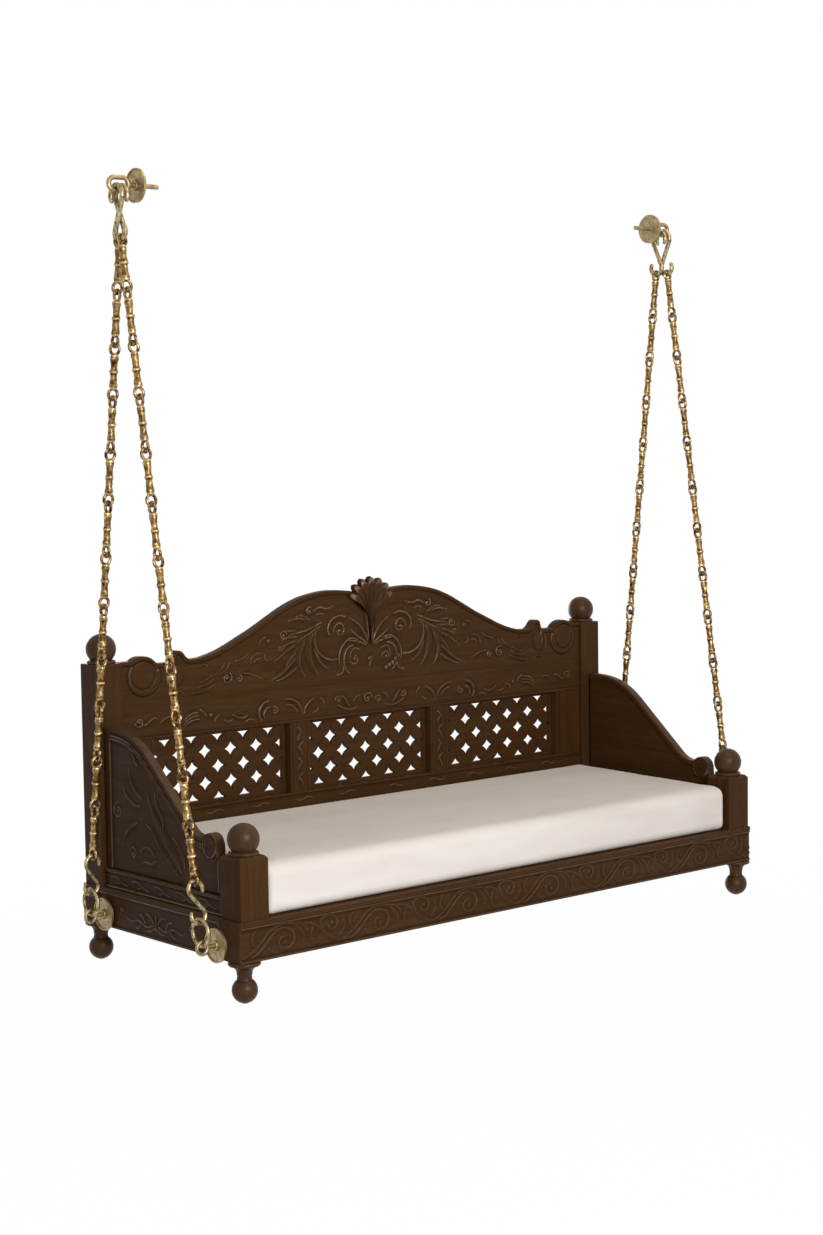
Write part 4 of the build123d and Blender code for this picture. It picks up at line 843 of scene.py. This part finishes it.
for side, name in ((-1, "left"), (1, "right")):
    high = arm_top(arm_u)
    low = np.full(len(arm_u), PLINTH_TOP)
    rows = np.concatenate([[0, 0.004, 0.01], np.linspace(0.02, 0.96, 104), np.linspace(0.968, 0.99, 6),
                           [0.994, 0.997, 1.0]])
    outer = board_grid(arm_u, low, high, rows)
    inner = board_grid(arm_u, low, high, rows)
    slope = np.gradient(np.where(np.abs(arm_u - SCROLL_Y) < 36, ARM_DIP, high), arm_u)[:, None]
    drop = (outer["high"][:, None] - outer["v"]) / np.sqrt(1 + slope ** 2)
    behind = outer["u"] > -158
    # the great leaf from the foot of the slope, double lined, and smaller leaves about it
    cut_leaves(outer, [
        (30, 4.0, 0.4, (-70, 276, -46, 306, -14, 344, 22, 382, 56, 420, 74, 462), {"vein": 1.8}),
        (18, 3.4, -0.4, (-62, 268, -20, 300, 24, 336, 58, 370, 92, 384)),
        (13, 3.4, 0.3, (-86, 290, -78, 318, -52, 350, -30, 362)),
        (15, 3.4, 0.3, (4, 372, 10, 404, 34, 438, 40, 470)),
        (12, 3.0, 0.4, (40, 300, 66, 318, 92, 318, 114, 302)),
        (10, 3.0, 0, (36, 292, 62, 282, 84, 284, 104, 276)),
        (12, 3.4, 0.3, (112, 520, 128, 540, 142, 566)),
        (16, 3.2, 0.4, (96, 440, 124, 456, 148, 486, 154, 520)),
        (13, 3.0, 0.4, (104, 420, 138, 424, 168, 444, 186, 474)),
        (14, 3.2, -0.4, (120, 380, 150, 366, 176, 342, 188, 310)),
        (12, 3.2, 0.4, (-150, 282, -128, 296, -108, 322, -104, 344)),
    ])
    cut_scroll(outer, (205, 400), 22, 90, -1, 6, 3.0)
    cut_scroll(outer, (140, 300), 16, 0, 1, 5, 2.8)
    band = (bead(drop, 6.0, 6.0)
            + 0.9 * GROUND * smooth_step((30 - drop) / 2.5) * smooth_step((drop - 14) / 2.5))
    inside = smooth_step((drop - 31) / 3)
    end_band = GROUND * 0.9 * smooth_step((outer["u"] - 231) / 3)
    outer["h"] = np.where(behind, np.maximum(outer["h"] * inside + band, end_band), band * (drop < 13))
    inner["h"] = bead((inner["high"][:, None] - inner["v"]) / np.sqrt(1 + slope ** 2), 9.0, 9.0, 3.4)
    for board in (outer, inner):
        disc = np.hypot(board["u"] - SCROLL_Y, board["v"] - SCROLL_Z)
        around = np.arctan2(board["v"] - SCROLL_Z, board["u"] - SCROLL_Y)
        disc_h = 2.2 + 1.6 * np.abs(np.cos(around * 6)) * smooth_step((disc - 8) / 8)
        disc_h = np.where(disc < 8, 3.8 * np.sqrt(np.clip(1 - (disc / 9) ** 2, 0, None)), disc_h)
        disc_h = np.where(disc > 24, 3.8, disc_h)
        disc_h = disc_h - 1.4 * np.exp(-((disc - 23.5) / 1.3) ** 2)
        board["h"] = np.where(disc < SCROLL_R, disc_h, board["h"])
    carved_board(f"arm_panel_{name}_carved", outer, ARM_THICK,
                 lambda u, v, d, s=side: (s * (ARM_FACE - d), u, v), walnut["y"], (f"arm_panel_{name}",),
                 arris=2.4, back=inner)

    plinth_rows = along_edges(SEAT, PLINTH_TOP, 2.4, near=(0.5, 1.2, 2.4))
    plinth = plain_board(arm_u, plinth_rows)
    for k in range(5):
        y = -226 + 96 * k
        cut_leaf(plinth, [(y, 212), (y + 22, 216), (y + 44, 227), (y + 64, 230), (y + 84, 222)], 8, 3.0,
                 lean=0.3)
        cut_leaf(plinth, [(y + 30, 222), (y + 40, 214), (y + 56, 212)], 7, 2.6)
    plinth["h"] = np.maximum.reduce([plinth["h"] * smooth_step((238 - plinth["v"]) / 3),
                                     GROUND * smooth_step((plinth["v"] - 237.5) / 1.5),
                                     0.9 * GROUND * smooth_step((206 - plinth["v"]) / 1.5)])
    plinth["h"] -= 1.4 * np.exp(-((plinth["v"] - 236) / 1.2) ** 2)
    carved_board(f"arm_plinth_{name}_carved", plinth, PLINTH_THICK,
                 lambda u, v, d, s=side: (s * (PLINTH_FACE - d), u, v), walnut["y"],
                 (f"arm_plinth_{name}",), arris=3.0)

# ---------------------------------------------------------------- mattress
# A firm cotton mattress in one tailored white cover. The foam keeps it square; the cover is a little
# tighter at the corners and swells slightly on the long faces. It lies loose on the planks.
MATTRESS = (-825.0, 825.0, -334.0, 262.0, 199.3, 333.3)


def cotton_cover():
    """Washed white cotton: a plain weave that reads as a fine matt tooth, and soft creases whose
    troughs are painted a little darker and warmer, as shade."""
    finish, tree, place = new_finish("washed_cotton_cover")
    # threads are 0.5 mm apart on the real cloth and 1.6 mm here, so that they show
    warp = add_node(tree, "TexWave", {"Vector": place, "Scale": 196.0, "Distortion": 1.5,
                                      "Detail": 2.0, "Detail Scale": 3.0}, bands_direction="X")
    weft = add_node(tree, "TexWave", {"Vector": place, "Scale": 196.0, "Distortion": 1.5,
                                      "Detail": 2.0, "Detail Scale": 3.0}, bands_direction="Y")
    upright = add_node(tree, "TexWave", {"Vector": place, "Scale": 196.0, "Distortion": 1.5},
                       bands_direction="Z")
    crossed = add_node(tree, "Math", {0: warp.outputs["Fac"], 1: weft.outputs["Fac"]}, operation="ADD")
    weave = add_node(tree, "Math", {0: crossed, 1: upright.outputs["Fac"]}, operation="ADD")
    crease_at = add_node(tree, "Mapping", {"Vector": place, "Scale": [2.2, 5.0, 9.0]})
    crease = add_node(tree, "TexNoise", {"Vector": crease_at, "Scale": 1.6, "Detail": 3.0,
                                         "Roughness": 0.5, "Distortion": 0.6})
    # painted shade: where the crease bump falls the cloth is a little darker and warmer
    tone = add_node(tree, "ValToRGB", {"Fac": crease.outputs["Fac"]}, stops=[
        (0.3, linear("#d5d0cb")), (0.55, linear("#dbd7d3")), (0.8, linear("#dfdcd8"))])
    drape = add_node(tree, "Bump", {"Height": crease.outputs["Fac"], "Strength": 0.16, "Distance": 0.006})
    tooth = add_node(tree, "Bump", {"Height": weave, "Strength": 0.16, "Distance": 0.0004, "Normal": drape})
    shader = add_node(tree, "BsdfPrincipled", {
        "Base Color": tone, "Roughness": 0.88, "Normal": tooth,
        "Specular IOR Level": 0.2, "Sheen Weight": 0.12, "Sheen Roughness": 0.5})
    add_node(tree, "OutputMaterial", {"Surface": shader})
    return finish


EDGE_ROUND = 0.032
COVER_SWELL = 0.006
BACK_RISE = 0.009
GRID_STEP = 12.5
x0, x1, y0, y1, z0, z1 = MATTRESS
half = np.array([x1 - x0, y1 - y0, z1 - z0]) / 2 - [1.5, 1.5, 0.5]
centre = np.array([x0 + x1, y0 + y1, z0 + z1]) / 2
block = bmesh.new()
bmesh.ops.create_cube(block, size=2.0)
roundness = block.edges.layers.float.new("bevel_weight_edge")
for edge in block.edges:
    mid = (edge.verts[0].co + edge.verts[1].co) / 2
    # the front upper edge is the softest, the upright corners the tightest
    front = mid.y < -0.5
    top_weight, low_weight = (1.0, 0.75) if front else (0.6, 0.4)
    edge[roundness] = top_weight if mid.z > 0.5 else low_weight if mid.z < -0.5 else 0.5
for vertex in block.verts:
    vertex.co = Vector([float(c) / 1000 for c in np.array(vertex.co) * half + centre])
pad_mesh = bpy.data.meshes.new("mattress_pad")
block.to_mesh(pad_mesh)
block.free()
pad = bpy.data.objects.new("mattress_pad", pad_mesh)
bpy.context.collection.objects.link(pad)


def apply_all(piece):
    """Put the result of a piece's modifiers into its mesh and drop them."""
    seen = bpy.context.evaluated_depsgraph_get()
    made = bpy.data.meshes.new_from_object(piece.evaluated_get(seen))
    old = piece.data
    piece.modifiers.clear()
    piece.data = made
    bpy.data.meshes.remove(old)


rounding = pad.modifiers.new("rounding", "BEVEL")
rounding.width = EDGE_ROUND
rounding.segments = 5
rounding.limit_method = "WEIGHT"
apply_all(pad)
gridded = bmesh.new()
gridded.from_mesh(pad.data)
# the cuts along each axis keep off the rounded edges, the level ones further than the others
for axis, low, high in ((0, x0, x1), (1, y0, y1), (2, z0, z1)):
    count = int((high - low - 20) / GRID_STEP)
    for station in np.linspace(low + 18 + 6 * (axis == 2), high - 18 - 16 * (axis == 2), count):
        normal = [float(axis == i) for i in range(3)]
        bmesh.ops.bisect_plane(gridded, geom=gridded.verts[:] + gridded.edges[:] + gridded.faces[:],
                               plane_co=[c * float(station) / 1000 for c in normal], plane_no=normal)
gridded.to_mesh(pad.data)
gridded.free()
before = np.empty(len(pad.data.vertices) * 3, np.float32)
pad.data.vertices.foreach_get("co", before)
cloth = pad.modifiers.new("cover", "CLOTH")
cloth.settings.quality = 6
cloth.settings.use_pressure = True
cloth.settings.uniform_pressure_force = 4.0
cloth.settings.tension_stiffness = 30
cloth.settings.bending_stiffness = 2.0
cloth.settings.effector_weights.gravity = 0
bpy.context.scene.frame_start, bpy.context.scene.frame_end = 1, 20
for step in range(1, 21):
    bpy.context.scene.frame_set(step)
apply_all(pad)
bpy.context.scene.frame_set(1)
after = np.empty_like(before)
pad.data.vertices.foreach_get("co", after)
before, moved = before.reshape(-1, 3), after.reshape(-1, 3) - before.reshape(-1, 3)
reach = np.linalg.norm(moved, axis=1, keepdims=True)
moved *= np.minimum(1, COVER_SWELL / np.maximum(reach, 1e-9))
moved[:, 2] *= np.where(before[:, 2] < 0.215, 0.2, 1.0)
swollen = before + moved
# the foam stands higher at the back than at the front, where it has been sat on
height_share = np.clip((swollen[:, 2] * 1000 - z0) / (z1 - z0), 0, 1)
swollen[:, 2] -= BACK_RISE * height_share * np.clip((y1 / 1000 - swollen[:, 1]) / (y1 - y0) * 1000, 0, 1)
limits_low = np.array([x0, y0, z0]) / 1000 + 0.0004
limits_high = np.array([x1, y1, z1]) / 1000 - 0.0004
swollen = np.clip(swollen, limits_low, limits_high)
pad.data.vertices.foreach_set("co", swollen.astype(np.float32).ravel())
pad.data.update()
smooth = pad.modifiers.new("smooth", "SUBSURF")
smooth.levels = smooth.render_levels = 1
pad.data.shade_smooth()
pad.data.materials.append(cotton_cover())
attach(pad, "mattress")
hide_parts("mattress")

# ---------------------------------------------------------------- anchor plates, eye bolts and screws
# Cast brass discs on the ends of the seat frame, each with an eye bolt through its boss and four
# round-headed screws; the castings are fettled by hand and have gone brown in their hollows.


def cast_brass(name, tones, rough, dent):
    """Cast yellow brass, wire brushed: a fine sand-cast tooth, soft dents from fettling, bright
    rubbed places and a brown tarnish in the hollows."""
    finish, tree, place = new_finish(name)
    # the sand's tooth is 2 mm across here, a little coarser than the casting's 1 mm
    tooth = add_node(tree, "TexNoise", {"Vector": place, "Scale": 420.0, "Detail": 3.0, "Roughness": 0.6})
    cloud = add_node(tree, "TexNoise", {"Vector": place, "Scale": 70.0, "Detail": 4.0, "Roughness": 0.65})
    relief = add_node(tree, "Attribute", attribute_name="relief").outputs["Fac"]
    level = add_node(tree, "Math", {0: relief, 1: 0.30, 2: cloud.outputs["Fac"]}, operation="MULTIPLY_ADD")
    tone = add_node(tree, "ValToRGB", {"Fac": level}, stops=[
        (at, linear(tones[i])) for i, at in enumerate((0.24, 0.42, 0.58, 0.8))])
    matt = add_node(tree, "MapRange", {"Value": level, "From Min": 0.25, "From Max": 0.7,
                                       "To Min": rough + 0.16, "To Max": rough})
    soft = add_node(tree, "Bump", {"Height": cloud.outputs["Fac"], "Strength": dent, "Distance": 0.0016})
    sand = add_node(tree, "Bump", {"Height": tooth.outputs["Fac"], "Strength": 0.3,
                                   "Distance": 0.0004, "Normal": soft})
    shader = add_node(tree, "BsdfPrincipled", {
        "Base Color": tone, "Roughness": matt, "Normal": sand,
        "Metallic": 0.96})
    add_node(tree, "OutputMaterial", {"Surface": shader})
    return finish


brass = cast_brass("brushed_cast_brass", ("#5d4d37", "#94825f", "#aa9973", "#c3b391"), 0.40, 0.3)
chain_brass = cast_brass("tarnished_cast_brass", ("#331f10", "#6d5332", "#94784c", "#c4a877"), 0.36, 0.5)


def keep_cad(node, finish):
    """Give a round CAD node its finish, with its loose triangles joined and its corners kept sharp."""
    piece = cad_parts[node]
    piece.data.materials.clear()
    piece.data.materials.append(finish)
    piece.data.shade_smooth()
    weld = piece.modifiers.new("weld", "WELD")
    weld.merge_threshold = 0.00002
    split = piece.modifiers.new("corners", "EDGE_SPLIT")
    split.split_angle = radians(32)
    return piece


for node in ("anchor_plates", "anchor_eyes", "anchor_washers", "anchor_nuts", "plate_screws"):
    keep_cad(node, brass)


def zinc_plated_steel():
    """Zinc plated steel: grey, bluish, with a faint crystal mottle."""
    finish, tree, place = new_finish("zinc_plated_steel")
    # crystals about 1 mm across
    mottle = add_node(tree, "TexNoise", {"Vector": place, "Scale": 900.0, "Detail": 2.0})
    tone = add_node(tree, "ValToRGB", {"Fac": mottle.outputs["Fac"]}, stops=[
        (0.35, linear("#8b8f94")), (0.65, linear("#b4b8bc"))])
    shader = add_node(tree, "BsdfPrincipled", {"Base Color": tone, "Metallic": 1.0, "Roughness": 0.38})
    add_node(tree, "OutputMaterial", {"Surface": shader})
    return finish


keep_cad("ledger_screws", zinc_plated_steel())

# ---------------------------------------------------------------- rings and hooks
# Rings and S-hooks bent from brass rod, hammered lightly as they were closed. The rod is drawn
# down a little towards each blunt end of a hook.
HANG_X, HANG_Y = 957.0, 34.7
BEAM_EYE_Z, HOOK_APART = 1930.0, 8.0
ANCHOR_Y, ANCHOR_Z = 244.0, 132.0
ANCHOR_EYE_R, ANCHOR_EYE_WIRE = 15, 9.0
RING_R, RING_WIRE = 32.0, 10.0
LOWER_ROD, LOWER_HEIGHT = 11.5, 113.0
WIRE_GAP = 0.3
cast_rng = np.random.default_rng(11)
lump_waves = cast_rng.normal(size=(18, 3))
lump_waves /= np.linalg.norm(lump_waves, axis=1)[:, None]
lump_waves *= (2 * pi / cast_rng.uniform(7, 19, 18))[:, None]
lump_phase = cast_rng.uniform(0, 2 * pi, 18)


def lumps(points):
    """Soft unevenness of a hand-worked surface, mostly from -1 to 1: the sum of eighteen sine waves of
    7 to 19 mm, over six."""
    return np.sin(points @ lump_waves.T + lump_phase).sum(axis=-1) / 6.0


def wire(path, radius, hammer, sides=16, closed=False):
    """A rod along a path in the plane y = 0: rings of points at the radius about the path, pressed in
    by hammer mm where the surface is uneven. Returns points, quads and relief."""
    path = np.asarray(path, float)
    radius = np.broadcast_to(radius, len(path))
    ahead = (np.roll(path, -1, 0) - np.roll(path, 1, 0)) if closed else np.gradient(path, axis=0)
    ahead /= np.linalg.norm(ahead, axis=1)[:, None]
    side = np.array([0.0, 1.0, 0.0])
    out = np.cross(ahead, side)
    angle = np.linspace(0, 2 * pi, sides, endpoint=False)
    skin = out[:, None, :] * np.cos(angle)[None, :, None] + side * np.sin(angle)[None, :, None]
    rough = lumps(path[:, None, :] + radius[:, None, None] * skin)
    pressed = radius[:, None] - hammer * (0.5 - 0.5 * np.clip(rough, -1, 1)) * (radius[:, None] > 1.5)
    points = (path[:, None, :] + pressed[..., None] * skin).reshape(-1, 3)
    return points, ring_faces(len(path), sides, closed), rough.ravel() * 0.9


def s_hook(rod, height, top_bend, low_bend):
    """An S of rod in the plane y = 0, its middle line's lowest point at the origin: two arcs and the
    straight line between them; the last 14 mm of each end thins to 0.86 and is rounded off."""
    length = height - rod
    lean = np.arcsin((top_bend + low_bend) / (length - top_bend - low_bend))
    turn = radians(198) + lean
    a = radians(-18) + np.linspace(0, turn, 44)
    top = np.stack([top_bend * np.cos(a), 0 * a, length - top_bend + top_bend * np.sin(a)], axis=1)
    a = radians(162) + np.linspace(0, turn, 44)
    low = np.stack([low_bend * np.cos(a), 0 * a, low_bend + low_bend * np.sin(a)], axis=1)[::-1]
    t = np.linspace(0, 1, 16)[1:-1, None]
    path = np.vstack([top, top[-1] * (1 - t) + low[0] * t, low])
    run = np.concatenate([[0], np.cumsum(np.linalg.norm(np.diff(path, axis=0), axis=1))])
    radius = rod / 2
    cap = np.array([0.02, 0.35, 0.62, 0.82, 0.95])
    step0 = (path[0] - path[1]) / np.linalg.norm(path[0] - path[1])
    step1 = (path[-1] - path[-2]) / np.linalg.norm(path[-1] - path[-2])
    reach = radius * np.sqrt(1 - cap ** 2) * 0.86
    taper = 1 - 0.14 * (1 - smooth_step(np.minimum(run, run[-1] - run) / 14))
    path = np.vstack([path[0] + step0 * reach[:, None], path, path[-1] + step1 * reach[::-1, None]])
    radii = radius * np.concatenate([0.86 * cap, taper, 0.86 * cap[::-1]])
    return path, radii


def strand(side, end):
    """The foot of a strand, its three axes, the third along it, and its length."""
    step = 1 if end == "front" else -1
    ring_low = ANCHOR_Z + ANCHOR_EYE_R - ANCHOR_EYE_WIRE / 2 - RING_WIRE / 2 - WIRE_GAP
    foot = np.array([side * HANG_X, -ANCHOR_Y if end == "front" else ANCHOR_Y, ring_low])
    head = np.array([side * (HANG_X + step * HOOK_APART), HANG_Y, BEAM_EYE_Z])
    along = (head - foot) / np.linalg.norm(head - foot)
    across = np.cross(along, [1.0, 0.0, 0.0])
    across /= np.linalg.norm(across)
    return foot, np.stack([np.cross(across, along), across, along]), np.linalg.norm(head - foot)


def turned_about(points, degrees):
    """Points turned about their own z axis."""
    a = radians(degrees)
    return points @ np.array([[cos(a), sin(a), 0], [-sin(a), cos(a), 0], [0, 0, 1]])


def joined(parts):
    """Several sets of points, faces and relief as one."""
    points, faces, relief, start = [], [], [], 0
    for p, f, r in parts:
        points.append(p)
        relief.append(r)
        faces += [[i + start for i in face] for face in f]
        start += len(p)
    return np.vstack(points), faces, np.concatenate(relief)


HOOK_START = 2 * RING_R - (RING_WIRE + LOWER_ROD) / 2 - WIRE_GAP
for side, name in ((-1, "left"), (1, "right")):
    rings, hooks = [], []
    for end in ("front", "back"):
        foot, axes, length = strand(side, end)
        a = np.linspace(0, 2 * pi, 72, endpoint=False)
        circle = np.stack([RING_R * np.cos(a), 0 * a, RING_R * np.sin(a)], axis=1)
        p, f, r = wire(circle, RING_WIRE / 2, 0.2, closed=True)
        rings.append((foot + (turned_about(p, 90) + [0, 0, RING_R]) @ axes, f, r))
        path, radii = s_hook(LOWER_ROD, LOWER_HEIGHT, 20.0, 20.0)
        p, f, r = wire(path, radii, 0.3)
        hooks.append((foot + (p + [0, 0, HOOK_START]) @ axes, f, r))
    for label, parts, node in (("rings", rings, "lower_rings"), ("hooks", hooks, "lower_hooks")):
        points, faces, relief = joined(parts)
        add_piece(f"lower_{label}_{name}_bent", points, faces, brass, f"strands_{name}",
                  (f"{node}_{name}",), relief, sharp=60)

# ---------------------------------------------------------------- chains
# Twelve cast links to a strand. Each is a bar with a bead at its middle and a waist on both sides,
# and a long loop at each end; the loops hang in each other at right angles. The castings are rough.
LINKS = 12
LOOP_R, LOOP_SIDE, LOOP_WIRE = 12.6, 2.0, 8.5
BEAM_EYE_WIRE = 12.0
UPPER_ROD, UPPER_HEIGHT = 13.5, 145.0
SWAY_GAP = 0.9


def chain_link(length):
    """A link about its middle: a bar, turned from a smooth profile of beads, and two wire loops."""
    inner = length / 2 - 2 * LOOP_R - LOOP_SIDE
    half_z = np.array([0, 1.8, 3.2, 4.4, 7.0, 12.0, inner * 0.5, inner * 0.66, inner * 0.76, inner * 0.84,
                       inner * 0.94, inner + 0.5])
    half_r = np.array([11.6, 11.4, 10.4, 9.2, 8.6, 8.5, 8.9, 9.8, 10.9, 10.6, 10.4, 9.4])
    z = np.linspace(0, inner, 30)
    r = np.interp(z, half_z, half_r)
    z = np.concatenate([[-inner - 0.6], -z[::-1], z[1:], [inner + 0.6]])
    r = np.concatenate([[0.05], r[::-1], r[1:], [0.05]])
    sides = 20
    a = np.linspace(0, 2 * pi, sides, endpoint=False)
    skin = np.stack([r[:, None] * np.cos(a), r[:, None] * np.sin(a), z[:, None] + 0 * a], axis=-1)
    shift = cast_rng.uniform(0, 400, 3)
    rough = lumps(skin + shift)
    scale = 1 - 0.085 * (0.6 - rough)[..., None] * np.array([1, 1, 0])
    points = (skin * scale).reshape(-1, 3)
    mean = np.convolve(np.pad(r, 3, mode="edge"), np.ones(7) / 7, mode="valid")
    worn = np.clip((r - mean) / 1.2, -1, 1)[:, None] + 0.5 * rough
    parts = [(points, ring_faces(len(z), sides), worn.ravel())]
    for way in (1, -1):
        t = np.linspace(0, pi, 15)
        top = np.stack([LOOP_R * np.cos(t), 0 * t, LOOP_SIDE / 2 + LOOP_R * np.sin(t)], axis=1)
        low = np.stack([-LOOP_R * np.cos(t), 0 * t, -LOOP_SIDE / 2 - LOOP_R * np.sin(t)], axis=1)
        side_z = np.linspace(LOOP_SIDE / 2, -LOOP_SIDE / 2, 5)[1:-1]
        left = np.stack([-LOOP_R + 0 * side_z, 0 * side_z, side_z], axis=1)
        loop = np.vstack([top, left, low, -left])
        centre = np.array([0, 0, way * (inner + LOOP_R + LOOP_SIDE / 2)])
        p, f, rr = wire(loop + shift, LOOP_WIRE / 2, 0.7, sides=12, closed=True)
        parts.append((p - shift + centre, f, rr))
    return parts


for side, name in ((-1, "left"), (1, "right")):
    for end in ("front", "back"):
        foot, axes, length = strand(side, end)
        hook_low = length + (BEAM_EYE_WIRE + UPPER_ROD) / 2 + WIRE_GAP - (UPPER_HEIGHT - UPPER_ROD)
        chain_low = HOOK_START + (LOWER_HEIGHT - LOWER_ROD) - (LOWER_ROD + LOOP_WIRE) / 2 - WIRE_GAP
        chain_high = hook_low + (UPPER_ROD + LOOP_WIRE) / 2 + SWAY_GAP
        overlap = LOOP_WIRE + WIRE_GAP
        link = (chain_high - chain_low + (LINKS - 1) * overlap) / LINKS
        parts = []
        for i in range(LINKS):
            middle = chain_low + link / 2 + i * (link - overlap)
            for p, f, r in chain_link(link):
                p = turned_about(p, 90 if i % 2 == 0 else 0) + [0, 0, middle]
                parts.append((foot + p @ axes, f, r))
        points, faces, relief = joined(parts)
        add_piece(f"chain_{end}_{name}_cast", points, faces, chain_brass, f"strands_{name}",
                  (f"chain_{end}_{name}",), relief, sharp=60)
        path, radii = s_hook(UPPER_ROD, UPPER_HEIGHT, 25.0, 21.0)
        p, f, r = wire(path, radii, 0.45, sides=20)
        p = foot + (turned_about(p, 90 if end == "front" else -90) + [0, 0, hook_low]) @ axes
        add_piece(f"beam_hook_{end}_{name}_bent", p, f, brass, f"hooks_{name}",
                  (f"beam_hook_{end}_{name}",), r, sharp=60)

# ---------------------------------------------------------------- fittings on the beam
# At each end a long brass eye with a stud, wide enough for two hooks side by side, under a cast disc
# that is screwed to the beam. Both have the same finish as the discs on the seat frame.
for node in ("beam_eyes", "beam_plates"):
    keep_cad(node, brass)

# ---------------------------------------------------------------- floor, light and camera
# A plain white studio: a pale floor under the swing, a broad key lamp low to the front left, a warm
# lamp above and a weak one behind, and even light from all round. The camera stands to the left.
FLOOR_Z = -0.28
FLOOR_REACH = 14.0


def white_rays(tree):
    """One for camera, glossy and transmission rays, which see plain white, and nought for the others."""
    path_kind = add_node(tree, "LightPath")
    seen = add_node(tree, "Math", {0: path_kind.outputs["Is Camera Ray"],
                                   1: path_kind.outputs["Is Glossy Ray"]}, operation="MAXIMUM")
    return add_node(tree, "Math", {0: seen, 1: path_kind.outputs["Is Transmission Ray"]},
                    operation="MAXIMUM")


floor_mesh = bpy.data.meshes.new("studio_floor")
floor_mesh.from_pydata([(a * FLOOR_REACH, b * FLOOR_REACH, FLOOR_Z)
                        for a, b in ((-1, -1), (1, -1), (1, 1), (-1, 1))], [], [(0, 1, 2, 3)])
floor = bpy.data.objects.new("studio_floor", floor_mesh)
bpy.context.collection.objects.link(floor)
paper, tree, spot = new_finish("white_paper_floor")
through = white_rays(tree)
from_middle = add_node(tree, "VectorMath", {0: spot}, operation="LENGTH")
fade = add_node(tree, "MapRange", {"Value": from_middle.outputs["Value"], "From Min": 1.0,
                                   "From Max": 3.2, "To Min": 0.99, "To Max": 1.0})
level = add_node(tree, "Math", {0: through, 1: fade}, operation="MULTIPLY")
white = add_node(tree, "Emission", {"Color": (1, 1, 1, 1), "Strength": 1.0})
matt = add_node(tree, "BsdfDiffuse", {"Color": linear("#e4e2de")})
mixed = add_node(tree, "MixShader", {0: level, 1: matt, 2: white})
add_node(tree, "OutputMaterial", {"Surface": mixed})
floor_mesh.materials.append(paper)

world = bpy.data.worlds.new("studio")
bpy.context.scene.world = world
world.use_nodes = True
tree = world.node_tree
tree.nodes.clear()
through = white_rays(tree)
around = add_node(tree, "Background", {"Color": (1.0, 0.87, 0.74, 1.0), "Strength": 0.21})
plain = add_node(tree, "Background", {"Color": (1, 1, 1, 1), "Strength": 1.0})
both = add_node(tree, "MixShader", {0: through, 1: around, 2: plain})
add_node(tree, "OutputWorld", {"Surface": both})


def soft_lamp(name, azimuth, elevation, distance, size, watts, colour):
    """A square lamp that looks at the bench from an azimuth, measured from the front towards the right."""
    data = bpy.data.lights.new(name, "AREA")
    data.shape = "SQUARE"
    data.size = size
    data.energy = watts
    data.color = colour
    lamp = bpy.data.objects.new(name, data)
    bpy.context.collection.objects.link(lamp)
    a, e = radians(azimuth), radians(elevation)
    aim = Vector((0, 0, 0.45))
    lamp.location = aim + distance * Vector((sin(a) * cos(e), -cos(a) * cos(e), sin(e)))
    lamp.rotation_euler = (aim - lamp.location).to_track_quat("-Z", "Y").to_euler()


soft_lamp("key_lamp", -21, 17, 4.6, 1.5, 157, (1.0, 1.0, 1.0))
soft_lamp("top_lamp", 30, 72, 4.2, 2.4, 42, (1.0, 0.85, 0.65))
soft_lamp("back_lamp", 165, 5, 4.6, 2.0, 80, (1.0, 0.96, 0.90))
bpy.context.scene.view_settings.view_transform = "Standard"

camera_data = bpy.data.cameras.new("camera")
camera_data.lens = 62.02
camera_data.sensor_width = 36
camera = bpy.data.objects.new("camera", camera_data)
bpy.context.collection.objects.link(camera)
yaw, pitch, roll = 0.7124, 0.0771, -0.0142
forward = np.array([sin(yaw) * cos(pitch), cos(yaw) * cos(pitch), -sin(pitch)])
right = np.array([cos(yaw), -sin(yaw), 0.0])
up = np.cross(right, forward)
right, up = cos(roll) * right + sin(roll) * up, -sin(roll) * right + cos(roll) * up
stand_at = (-3.8153, -4.3272, 1.2927)
camera.matrix_world = Matrix([[right[i], up[i], -forward[i], stand_at[i]] for i in range(3)]
                             + [[0, 0, 0, 1]])
bpy.context.scene.camera = camera
